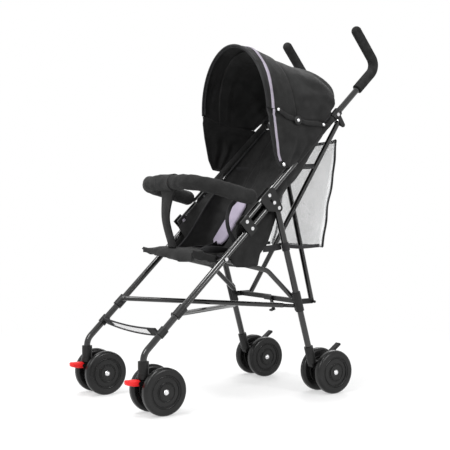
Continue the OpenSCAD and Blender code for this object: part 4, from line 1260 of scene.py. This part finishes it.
# %% Harness
BUCKLE_AT = Vector((0.004, -0.120, seat_mid_z(-0.120) + 0.022))
PAD_HALF = 0.029
PAD_TOP = 0.545
PAD_LOW = 0.418
PAD_ROWS = 24
PAD_COLS = 12


def sling_share(z):
    """Share of the way up the seat back for a height in its lower half."""
    return 0.5 * (z - SLING_LOW[1]) / (SLING_MID[1] - SLING_LOW[1])


def on_back(x, z, off):
    """Place on the inner face of the seat back at a width and a height, off in front of it."""
    f = sling_share(z)
    a = math.acos(math.copysign(abs(x / SLING_HALF) ** (1 / SLING_SQUARE), x))
    p = sling_place(f, a)
    return Vector((x, p.y, z)) - sling_out(f, a) * (off + 0.004)


def pad_rows(side):
    def place(t, k):
        u = 2 * k - 1
        half = PAD_HALF * (1 - 0.35 * ease((t - 0.86) / 0.14)) * (1 - 0.25 * ease((0.12 - t) / 0.12))
        puff = (0.006 + 0.004 * math.sin(math.pi * t)) * math.sqrt(max(1 - u ** 4, 0.0))
        return on_back(side * (mix(0.080, 0.087, t) + half * u), mix(PAD_TOP, PAD_LOW, t), 0.004 + puff)

    return grid_of(place, PAD_ROWS, PAD_COLS)


harness_parts = []
for tag, side in SIDES:
    rows = pad_rows(side)
    pad = thicken(grid_piece("harness_pad_" + tag, rows, lavender_cloth), 0.003, float(side))
    low = rows[-1][PAD_COLS // 2]
    tail = smooth_line([low, low + Vector((-side * 0.012, -0.040, -0.012)),
                        BUCKLE_AT + Vector((side * 0.034, 0.006, 0.002)),
                        BUCKLE_AT + Vector((side * 0.012, 0, 0))], 24)
    belt = ribbon_piece("harness_belt_" + tag, tail, (0.4 * side, 1, 0), 0.020, 0.0022, webbing)
    harness_parts += [pad, belt]
slack_line = smooth_line([(0.133, -0.030, 0.560), (0.125, -0.060, 0.5545), (0.123, -0.077, 0.5256),
                          (0.123, -0.083, 0.5004), (0.125, -0.077, 0.4678), (0.129, -0.058, 0.436),
                          (0.134, -0.042, 0.424)], 40)
harness_parts.append(ribbon_piece("harness_slack_left", slack_line, (0.3, 1, 0), 0.011, 0.0024, webbing))
print("harness", [p.name for p in harness_parts])

# %% Buckle


def rounded_block(name, centre, size, finish, edge):
    """Block with bevelled edges."""
    bm = bmesh.new()
    bmesh.ops.create_cube(bm, size=1.0)
    for v in bm.verts:
        v.co = Vector(centre) + Vector([c * s for c, s in zip(v.co, size)])
    bmesh.ops.bevel(bm, geom=bm.edges[:] + bm.verts[:], offset=edge, segments=3, affect="EDGES", profile=0.6)
    mesh = bpy.data.meshes.new(name)
    bm.to_mesh(mesh)
    bm.free()
    return link_mesh(name, mesh, finish)


buckle = []
for name, shift, size, edge in (("body", (0, 0, 0), (0.034, 0.030, 0.011), 0.003),
                                ("tongue", (0.019, 0, 0.0005), (0.012, 0.022, 0.008), 0.002),
                                ("button", (-0.002, 0, 0.0052), (0.014, 0.012, 0.003), 0.001)):
    buckle.append(rounded_block("buckle_" + name, BUCKLE_AT + Vector(shift), size, black_plastic, edge))
settle(harness_parts + buckle, "seat", SLING_KEEP)
print("buckle at", [round(v, 3) for v in BUCKLE_AT])

# %% [markdown]
# The shopping bag hangs behind the rear cross. It is net on all sides with a black bound edge,
# and the back panel bellies out and sags, as a half empty bag does.
# Modelling each thread would take millions of faces, so the net's holes are in its finish.

# %% Bag shape
BAG_HALF = 0.124
BAG_TOP = 0.734
BAG_LOW = 0.420
BAG_ROWS = 34
BAG_COLS = 40
NET_THICK = 0.0012
REAR_TOP = on_push(TOP_JOINT_UP, 0.034)
REAR_LOW = (0.186, 0.264)
REAR_BAR = 0.015
# Half the distance between the two bars where one passes behind the other
BAR_SHIFT = 0.012


def cross_back(z):
    """How far back the rear cross reaches at a height."""
    run = (z - REAR_LOW[1]) / (REAR_TOP[1] - REAR_LOW[1])
    return mix(REAR_LOW[0], REAR_TOP[0], run) + BAR_SHIFT + REAR_BAR * 0.515 + 0.0003


def bag_depth(f):
    """How far the back panel stands off, from the bottom edge (0) to the mouth (1)."""
    return 0.005 + 0.033 * math.sin(math.pi * min(1, 0.20 + 0.78 * f)) ** 0.8


def bag_back(f, u):
    z = mix(BAG_LOW, BAG_TOP, f) - 0.010 * (1 - f) * math.cos(math.pi * u / 2) * 0.6
    z -= 0.010 * f * (1 - u * u)
    round_off = (1 - abs(u) ** 5)
    depth = bag_depth(f) * (0.45 + 0.55 * round_off)
    wrinkle = 0.0042 * crumple((u * 0.26, f * 0.14, 0.2), 30, 11.0) * round_off
    slip = 1.4 if u > 0 else 3.9
    wave = 0.0034 * math.sin(9 * f + slip) + 0.0022 * math.sin(21 * f + 2 * slip)
    wave *= ease((abs(u) - 0.7) / 0.3) * (1 - f ** 6)
    x = u * BAG_HALF * (1 - 0.03 * math.sin(math.pi * f)) + wave * u
    return Vector((x, cross_back(max(z, BAG_LOW)) + depth + wrinkle, max(z, BAG_LOW)))


def bag_front(f, u):
    z = mix(BAG_LOW, BAG_TOP, f)
    return Vector((u * BAG_HALF, cross_back(z) + 0.0015, z - 0.004 * f * (1 - u * u)))


def bag_rows(place):
    return grid_of(lambda f, k: place(f, 2 * k - 1), BAG_ROWS, BAG_COLS)


def net_panel(name, rows):
    return thicken(grid_piece(name, rows, bag_net), NET_THICK)


back_rows = bag_rows(bag_back)
front_rows = bag_rows(bag_front)
bag = net_panel("bag_back_net", back_rows)
bag_face = net_panel("bag_front_net", front_rows)
small_nets = []
for tag, col in (("left", -1), ("right", 0)):
    rows = [[f[col].lerp(b[col], t / 4) for t in range(5)] for f, b in zip(front_rows, back_rows)]
    small_nets.append((net_panel("bag_side_net_" + tag, rows), rows))
low_rows = [[f.lerp(b, t / 4) for f, b in zip(front_rows[0], back_rows[0])] for t in range(5)]
small_nets.append((net_panel("bag_low_net", low_rows), low_rows))
print("bag faces", len(bag.data.polygons))

# %% Bag binding
edges = []
for tag, col in (("left", -1), ("right", 0)):
    edges.append(tube_piece("bag_edge_" + tag, [row[col] for row in back_rows], 0.0036, binding, 8))
edges.append(tube_piece("bag_edge_low", back_rows[0], 0.0036, binding, 8))
edges.append(tube_piece("bag_edge_mouth", back_rows[-1], 0.0030, binding, 8))
top_band = [[p + Vector((0, 0.0012, -0.009 * k / 3)) for p in front_rows[-1]] for k in range(4)]
edges.append(thicken(grid_piece("bag_top_band", top_band, webbing), 0.0016))
BAG_KEEP = 0.45
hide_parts("storage_bag")
settle([bag, bag_face, *(net for net, _ in small_nets)], "seat", BAG_KEEP)
settle(edges, "seat", BAG_KEEP)
cut_sheet(back_rows)
cut_sheet(front_rows)
for net, rows in small_nets:
    cut_sheet(rows)
print("bag rides on the seat")

# %% [markdown]
# The footrest is a band of net between the front legs, with a plain bound edge and a cloth tab at each end.
# It hangs at a share of the way from the cross clamp to the leg's bend, so it follows both.
# One grid makes the band, and the tabs are thicker grids over its ends, as if sewn on.

# %% Footrest
FOOT_WIDE = 0.026
FOOT_ROWS = 6
FOOT_COLS = 60
TAB_COLS = 14
FOOT_KEEP = 0.36
FOOT_SHARE = 0.49
CLAMP_DOWN = 0.415
BEND_Y = -0.370
LEG_BEHIND = 0.026
BEHIND = (math.sin(LEAN), -math.cos(LEAN))
LEG_TOP = (HUB[0] + LEG_BEHIND * BEHIND[0], HUB[1] + LEG_BEHIND * BEHIND[1])
BEND_DOWN = (LEG_TOP[0] - BEND_Y) / math.cos(LEAN)
FOOT_DOWN = CLAMP_DOWN + (BEND_DOWN - CLAMP_DOWN) * FOOT_SHARE
FOOT_AT = (LEG_TOP[0] - FOOT_DOWN * math.cos(LEAN), LEG_TOP[1] - FOOT_DOWN * math.sin(LEAN))
FOOT_HALF = SIDE_X - 0.012 - 0.0006


def foot_place(u, k):
    """u runs from leg to leg, -1 to 1, and k across the band, 0 to 1."""
    back = FOOT_WIDE * (0.5 - k)
    sag = 0.007 * (1 - u * u)
    y = FOOT_AT[0] - 0.004 + back * BEHIND[0]
    return Vector((FOOT_HALF * u, y, FOOT_AT[1] - sag + back * BEHIND[1]))


foot_rows = grid_of(lambda k, u: foot_place(2 * u - 1, k), FOOT_ROWS, FOOT_COLS)
foot_band = thicken(grid_piece("footrest_net", foot_rows, foot_net), 0.0022)
foot_trim = []
for n, row in ((1, foot_rows[0]), (2, foot_rows[-1])):
    foot_trim.append(tube_piece("footrest_edge_%d" % n, row, 0.0024, binding, 8))
for tag, start, end in (("left", 0.70, 1.0), ("right", -1.0, -0.70)):
    rows = grid_of(lambda k, u: foot_place(mix(start, end, u), k), FOOT_ROWS, TAB_COLS)
    foot_trim.append(thicken(grid_piece("footrest_tab_" + tag, rows, seat_cloth), 0.0042))
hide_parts("footrest_strap")
settle([foot_band, *foot_trim], "seat", FOOT_KEEP)
cut_sheet(foot_rows)
print("footrest pieces", 1 + len(foot_trim))

# %% [markdown]
# Snaps and rivets hold the hood's cloth to its bars, and a snap closes each wing on the push tube.
# A real one is a low dome on a thin flange, so a turned profile of five points is enough.

# %% Rivet and hem helpers
HEM_TIP_X = 0.1765
HEM_PIVOT_X = 0.1815
HEM_CLIP_X = 0.1795
SNAP_AT = (0.069, 0.6550)
# Turned profiles: distance out from the cloth, then radius, or for a rivet a share of its radius
WASHER = [(0.0, 0.0128), (0.0018, 0.0128), (0.0030, 0.0112), (0.0034, 0.004), (0.0034, 0.0008)]
RIVET = [(0.0, 1.15), (0.0007, 1.15), (0.0009, 0.95), (0.0019, 0.6), (0.0023, 0.12)]


def rivet_head(name, place, side, body, r=0.0040):
    profile = [(out, r * share) for out, share in RIVET]
    settle((lathe_piece(name, place, (side, 0, 0), profile, rivet_steel, 20),), body)


def hem_radius(t, w):
    return 0.0052 + 0.0022 * math.sin(math.pi * t)


def side_hem(name, side, points, x_from, x_to, node, body):
    """Roll of cloth over a hood bar, thickest in its middle and a little wavy."""
    line = smooth_line([(0, *p) for p in points], 30)
    path = []
    for i, p in enumerate(line):
        t = i / (len(line) - 1)
        sway = 0.0012 * math.sin(9 * t + 1)
        path.append(Vector((mix(x_from, x_to, t) * side, p.y, p.z + sway * math.sin(math.pi * t))))
    roll = tube_piece(name, path, hem_radius, black_cloth, 14, 0.62, (0, 0, 1))
    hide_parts(node)
    settle((roll,), body)


print("rivet profile points", len(RIVET))

# %% Hood rivets
# Distance of each head's foot from the middle
WASHER_X = 0.1838
TIP_X = 0.1808
PIVOT_X = 0.1871
CLIP_X = 0.1850
SNAP_X = 0.1812
tip = mix2(HOOD_AT, ARM_TIP, 0.94)
clip = mix2(HOOD_AT, CLIP_AT, 0.82)
droop = (mix(tip[0], HOOD_AT[0], 0.55), mix(tip[1], HOOD_AT[1], 0.55) - 0.003)
sag = (mix(HOOD_AT[0], CLIP_AT[0], 0.4), mix(HOOD_AT[1], CLIP_AT[1], 0.4) - 0.001)
for tag, side in SIDES:
    arm = "hood_arm_" + tag
    link = "hood_link_" + tag
    body = "side_" + tag
    side_hem("hood_hem_front_" + tag, side, [tip, droop, HOOD_AT], HEM_TIP_X, HEM_PIVOT_X, arm, arm)
    side_hem("hood_hem_back_" + tag, side, [HOOD_AT, sag, CLIP_AT], HEM_PIVOT_X, HEM_CLIP_X, link, body)
    washer_at = (side * WASHER_X, *HOOD_AT)
    washer = lathe_piece("hood_washer_" + tag, washer_at, (side, 0, 0), WASHER, black_plastic, 32)
    settle((washer,), body)
    rivet_head("hood_rivet_tip_" + tag, (side * TIP_X, *tip), side, arm)
    rivet_head("hood_rivet_pivot_" + tag, (side * PIVOT_X, *HOOD_AT), side, body, 0.0042)
    rivet_head("hood_rivet_clip_" + tag, (side * CLIP_X, *clip), side, body)
    rivet_head("wing_snap_" + tag, (side * SNAP_X, *SNAP_AT), side, body, 0.0048)
print("rivets and hems on both sides")

# %% [markdown]
# The seat back's cloth turns round each push tube. Low down it covers only the tube's inner half,
# and above the wing's snap it goes right round.
# One long sleeve would be simpler, but the photograph shows the bare tube outside the lower part.

# %% Back sleeves
AHEAD = Vector((0, -math.sin(LEAN), math.cos(LEAN)))
SLEEVE_R = 0.0104
TURN_R = 0.0103
SLEEVE_FROM = 0.664
SLEEVE_TO = 0.792
TURN_FROM = 0.590
TURN_TO = 0.668


def push_centre(z, side):
    """Centre of the push tube at a height."""
    y, high = on_push((z - HUB[1]) / math.sin(LEAN))
    return Vector((side * SIDE_X, y, high))


def sleeve_radius(t, w):
    return SLEEVE_R + 0.0005 * math.sin(40 * t + 2 * w)


def half_sleeve_rows(side):
    def place(t, k):
        w = math.radians(mix(-20, 200, k))
        inward = Vector((-side * math.sin(w) * TURN_R, 0, 0))
        return push_centre(mix(TURN_FROM, TURN_TO, t), side) + inward + AHEAD * (TURN_R * math.cos(w))

    return grid_of(place, 20, 10)


for tag, side in SIDES:
    path = [push_centre(mix(SLEEVE_FROM, SLEEVE_TO, i / 14), side) for i in range(15)]
    sleeve = tube_piece("back_sleeve_" + tag, path, sleeve_radius, black_cloth, 20)
    half_sleeve = thicken(grid_piece("back_turn_" + tag, half_sleeve_rows(side), black_cloth), 0.0012)
    settle((sleeve, half_sleeve), "side_" + tag)
print("sleeves on both push tubes")

# %% [markdown]
# A gusset closes the gap between the seat back's edge and the push tube on each side.
# It is one sheet stretched between those two lines, and it narrows at its foot.
# A row of straight steps from line to line is enough, with a shallow dip so that it doesn't look stiff.

# %% Back gussets
GUSSET_LOW = 0.440
GUSSET_TOP = 0.640


def gusset_rows(side):
    rows = []
    for i in range(25):
        z = mix(GUSSET_LOW, GUSSET_TOP, i / 24)
        edge = sling_place(min(sling_share(z), 0.62), 0.02 if side > 0 else math.pi - 0.02)
        edge.z = z
        tube = push_centre(z, side) + Vector((-side * 0.0098, -0.002, 0.002))
        tube = edge.lerp(tube, mix(0.25, 1, ease((z - GUSSET_LOW) / 0.045)))
        row = []
        for k in range(7):
            p = edge.lerp(tube, k / 6)
            p.y += 0.005 * math.sin(math.pi * k / 6) + 0.0012 * crumple(p, 50, 12.0)
            row.append(p)
        rows.append(row)
    return rows


for tag, side in SIDES:
    rows = gusset_rows(side)
    gusset = thicken(grid_piece("back_gusset_" + tag, rows, seat_cloth), 0.0014)
    settle((gusset,), "seat", SLING_KEEP)
    cut_sheet(rows)

# %% [markdown]
# Behind the cushion a strip of cloth joins the seat to the seat back, so that no light shows between them.
# It hangs between the two edges with a little sag, which a sine gives without a solver.

# %% Seat join
JOIN_FRONT = -0.014


def join_place(t, k):
    back = sling_place(0.015, mix(0.04, math.pi - 0.04, k))
    front = Vector((0.97 * back.x, JOIN_FRONT, seat_mid_z(JOIN_FRONT) + 0.003))
    p = front.lerp(Vector((back.x, back.y + 0.002, back.z + 0.001)), t)
    p.z -= 0.005 * math.sin(math.pi * t) + 0.0010 * crumple(p, 45, 13.0)
    return p


join_rows = grid_of(join_place, 6, 40)
seat_join = thicken(grid_piece("seat_join_cloth", join_rows, seat_cloth), 0.0016)
settle((seat_join,), "seat", SLING_KEEP)
cut_sheet(join_rows)

# %% [markdown]
# Red levers lock the front swivels. Each is a moulded wedge with a thick root and a thumb lip,
# made from a few sections from the pivot to the tip.
# A bevelled box would be close at this size, but sections give it the taper and the raised lip.

# %% Swivel levers
# Share of the way to the tip, half height, share of the full width
LEVER_SECTIONS = [(0.00, 0.0060, 0.80), (0.10, 0.0085, 1.0), (0.45, 0.0088, 1.0),
                  (0.75, 0.0072, 0.98), (0.92, 0.0066, 0.92), (1.0, 0.0045, 0.72)]
LEVER_RING = 24


def lever(tag):
    low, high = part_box("swivel_lock_" + tag)
    mid_x = (low[0] + high[0]) / 2
    mid_z = (low[2] + high[2]) / 2
    half = (high[0] - low[0]) / 2
    rows = []
    for t, tall, wide in LEVER_SECTIONS:
        y = mix(high[1] - 0.004, low[1] - 0.001, t)
        lift = 0.0035 * t * t
        ring = []
        for k in range(LEVER_RING):
            w = 2 * math.pi * k / LEVER_RING
            c, s = math.cos(w), math.sin(w)
            ring.append(Vector((mid_x + half * wide * math.copysign(abs(c) ** 0.4, c), y,
                                mid_z + lift + tall * math.copysign(abs(s) ** 0.5, s))))
        rows.append(ring)
    piece = grid_piece("swivel_lever_" + tag, rows, lock_red, closed=True)
    cap_ends(piece, LEVER_RING)
    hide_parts("swivel_lock_" + tag)
    settle((piece,), "swivel_lock_" + tag)
    return piece


for tag, _ in SIDES:
    print(lever(tag).name)

# %% [markdown]
# Webbing ties the seat to the frame behind: a short band from each push tube to the rear cross,
# and one from the seat's lower corner to a loop on the rear leg, and on to the bag.
# A flat ribbon along a smooth line is enough, because a strap keeps its width and only turns.

# %% Rear webbing
REAR_LEG_TOP = (0.0513, 0.5335)
REAR_LEG_LOW = (0.176, 0.094)
TIE_Z = 0.425
LOOP_STEPS = (-0.011, -0.010, 0.0, 0.010, 0.011)


def rear_leg_place(z):
    """How far back the rear leg is at a height."""
    down = (REAR_LEG_TOP[1] - z) / (REAR_LEG_TOP[1] - REAR_LEG_LOW[1])
    return mix(REAR_LEG_TOP[0], REAR_LEG_LOW[0], down)


def tie(name, side, points, count, across, width, thick):
    """Band of webbing through points that are given for the left side."""
    line = smooth_line([(side * x, y, z) for x, y, z in points], count)
    return ribbon_piece(name, line, across, width, thick, webbing)


leg_y = rear_leg_place(TIE_Z)
SEAT_TIE = [(0.146, 0.022, 0.418), (0.150, 0.048, 0.420), (0.1575, leg_y - 0.006, TIE_Z)]
BAG_TIE = [(0.1580, leg_y + 0.006, 0.426), (0.150, 0.150, 0.421), (0.1238, 0.2400, 0.4225)]
BACK_TIE = [(0.166, 0.106, 0.652), (0.135, 0.170, 0.6525), (0.090, 0.2515, 0.657)]
for tag, side in SIDES:
    loop_line = [(side * SIDE_X, rear_leg_place(TIE_Z + d), TIE_Z + d) for d in LOOP_STEPS]
    loop = tube_piece("leg_loop_" + tag, loop_line, 0.0112, webbing, 20)
    seat_tie = tie("seat_tie_" + tag, side, SEAT_TIE, 14, (0, 0.1, 1), 0.018, 0.0022)
    bag_tie = tie("bag_tie_" + tag, side, BAG_TIE, 18, (0, 0.1, 1), 0.010, 0.0020)
    back_tie = tie("back_tie_" + tag, side, BACK_TIE, 16, (0, 0, 1), 0.015, 0.0026)
    settle((loop, seat_tie, bag_tie), "rear_leg_" + tag)
    settle((back_tie,), "seat", BAG_KEEP)
print("ties behind the seat")

# %% [markdown]
# A pin on each rear bracket reaches the end of a rear cross bar,
# and an eye on each lower bar reaches the rear leg.
# The solids end a little short of each other there, so each is a short round rod that bridges the gap.

# %% Bracket pins and bar eyes
PIN_R = 0.0038
PIN_X = (0.172, 0.171, 0.139, 0.138)
EYE_R = 0.0058
EYE_PLAN = [(0.126, 0.1035), (0.140, 0.108), (0.1615, 0.1235)]
EYE_Z = 0.244
# One lower bar passes over the other, so their ends differ in height
EYE_STEP = 0.0105
for tag, side in SIDES:
    pin = tube_piece("rear_pin_" + tag, [(side * x, *REAR_LOW) for x in PIN_X], PIN_R, black_plastic, 16)
    settle((pin,), "rear_leg_" + tag)
    eye_line = smooth_line([(side * x, y, EYE_Z + side * EYE_STEP) for x, y in EYE_PLAN], 12)
    eye = tube_piece("lower_bar_eye_" + tag, eye_line, EYE_R, black_plastic, 14, 0.7)
    # The bar that ends on this side starts at the other
    settle((eye,), "lower_bar_" + ("right" if tag == "left" else "left"))
print("pins and eyes on both sides")

# %% [markdown]
# The stage: a pale floor that fades to white with distance, a white world, and soft lamps.
# A plain white floor would end in a visible line, so beyond the stroller it glows as white as the world.
# The camera stands where the photographer stood, low and to the front left of the child.

# %% Stage
FLOOR_REACH = 40
# Share of glow near the middle, and the distances where the fade starts and ends
FLOOR_GLOW = {"To Min": 0.45, "From Min": 0.50, "From Max": 1.6}
floor_mesh = bpy.data.meshes.new("floor")
corners = [(x * FLOOR_REACH, y * FLOOR_REACH, 0) for x, y in ((-1, -1), (1, -1), (1, 1), (-1, 1))]
floor_mesh.from_pydata(corners, [], [(0, 1, 2, 3)])
floor = bpy.data.objects.new("floor", floor_mesh)
scene.collection.objects.link(floor)
floor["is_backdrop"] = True
paper, tree, shader = start_finish("floor_paper", grey(0.90), 0.55)
place = add_node(tree, "ShaderNodeTexCoord")
distance = add_node(tree, "ShaderNodeVectorMath", operation="LENGTH")
tree.links.new(place.outputs["Object"], distance.inputs[0])
fade = add_node(tree, "ShaderNodeMapRange", interpolation_type="SMOOTHSTEP", **FLOOR_GLOW)
tree.links.new(distance.outputs["Value"], fade.inputs["Value"])
rays = add_node(tree, "ShaderNodeLightPath")
seen = join(tree, rays.outputs["Is Camera Ray"], rays.outputs["Is Glossy Ray"], "MAXIMUM")
share = join(tree, fade.outputs["Result"], seen, "MULTIPLY")
white = add_node(tree, "ShaderNodeEmission", Color=(1, 1, 1, 1), Strength=1.0)
blend = add_node(tree, "ShaderNodeMixShader")
tree.links.new(share, blend.inputs["Fac"])
tree.links.new(shader.outputs["BSDF"], blend.inputs[1])
tree.links.new(white.outputs["Emission"], blend.inputs[2])
tree.links.new(blend.outputs["Shader"], tree.nodes["Material Output"].inputs["Surface"])
floor_mesh.materials.append(paper)
print("floor ready")

# %% World and lamps
# The world looks white to the camera and gives a little less light to the cloth
WORLD_LEVEL = {"To Min": 0.62, "To Max": 1.0}
WORLD_GLOSS = 0.75
world = bpy.data.worlds.new("studio")
scene.world = world
world.use_nodes = True
sky = world.node_tree
back = sky.nodes["Background"]
back.inputs["Color"].default_value = (1, 1, 1, 1)
rays = add_node(sky, "ShaderNodeLightPath")
glossy = join(sky, rays.outputs["Is Glossy Ray"], WORLD_GLOSS, "MULTIPLY")
seen = join(sky, rays.outputs["Is Camera Ray"], glossy, "MAXIMUM")
seen = join(sky, seen, rays.outputs["Is Transmission Ray"], "MAXIMUM")
level = add_node(sky, "ShaderNodeMapRange", **WORLD_LEVEL)
sky.links.new(seen, level.inputs["Value"])
sky.links.new(level.outputs["Result"], back.inputs["Strength"])


def softbox(name, place, aim, size, power):
    lamp = bpy.data.lights.new(name, "AREA")
    lamp.shape = "RECTANGLE"
    lamp.size, lamp.size_y = size
    lamp.energy = power
    holder = bpy.data.objects.new(name, lamp)
    scene.collection.objects.link(holder)
    holder.location = place
    holder.rotation_euler = (Vector(aim) - Vector(place)).to_track_quat("-Z", "Y").to_euler()


AIM = (0, 0, 0.55)
softbox("overhead", (-0.2, -1.1, 3.2), AIM, (1.5, 0.7), 60)
softbox("key", (1.2, -2.6, 2.2), AIM, (1.0, 1.4), 45)
softbox("near_side", (2.8, 0.6, 1.6), AIM, (0.4, 1.5), 36)
softbox("behind", (-1.6, 2.0, 2.2), AIM, (1.2, 1.2), 30)
print("lamps ready")

# %% Camera
# Fitted to the photograph: focal length and picture width in pixels, then turn, tilt and place
FOCAL_PIXELS = 977.9
PICTURE_PIXELS = 450
SENSOR_WIDTH = 36
CAMERA_TURN = math.radians(57.08)
CAMERA_TILT = math.radians(1.14)
CAMERA_AT = (2.386, -1.555, 0.540)
camera_data = bpy.data.cameras.new("photo_camera")
camera_data.sensor_width = SENSOR_WIDTH
camera_data.lens = FOCAL_PIXELS / PICTURE_PIXELS * SENSOR_WIDTH
camera = bpy.data.objects.new("photo_camera", camera_data)
scene.collection.objects.link(camera)
look = Vector((-math.sin(CAMERA_TURN) * math.cos(CAMERA_TILT),
               math.cos(CAMERA_TURN) * math.cos(CAMERA_TILT), -math.sin(CAMERA_TILT)))
camera.location = CAMERA_AT
camera.rotation_euler = look.to_track_quat("-Z", "Y").to_euler()
scene.camera = camera
scene.view_settings.view_transform = "Standard"
print("camera ready")

# %% [markdown]
# Last, the dressed box is taken beside the CAD box from the start, and the dressed size is printed.
# Cloth may stand a little proud of the solids, and no more.

# %% Sizes and finish
bpy.context.view_layer.update()
low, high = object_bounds()
{"cad": [list(cad_low), list(cad_high)], "visual": [list(low), list(high)]}
print("dressed size", [round(v, 3) for v in high - low])
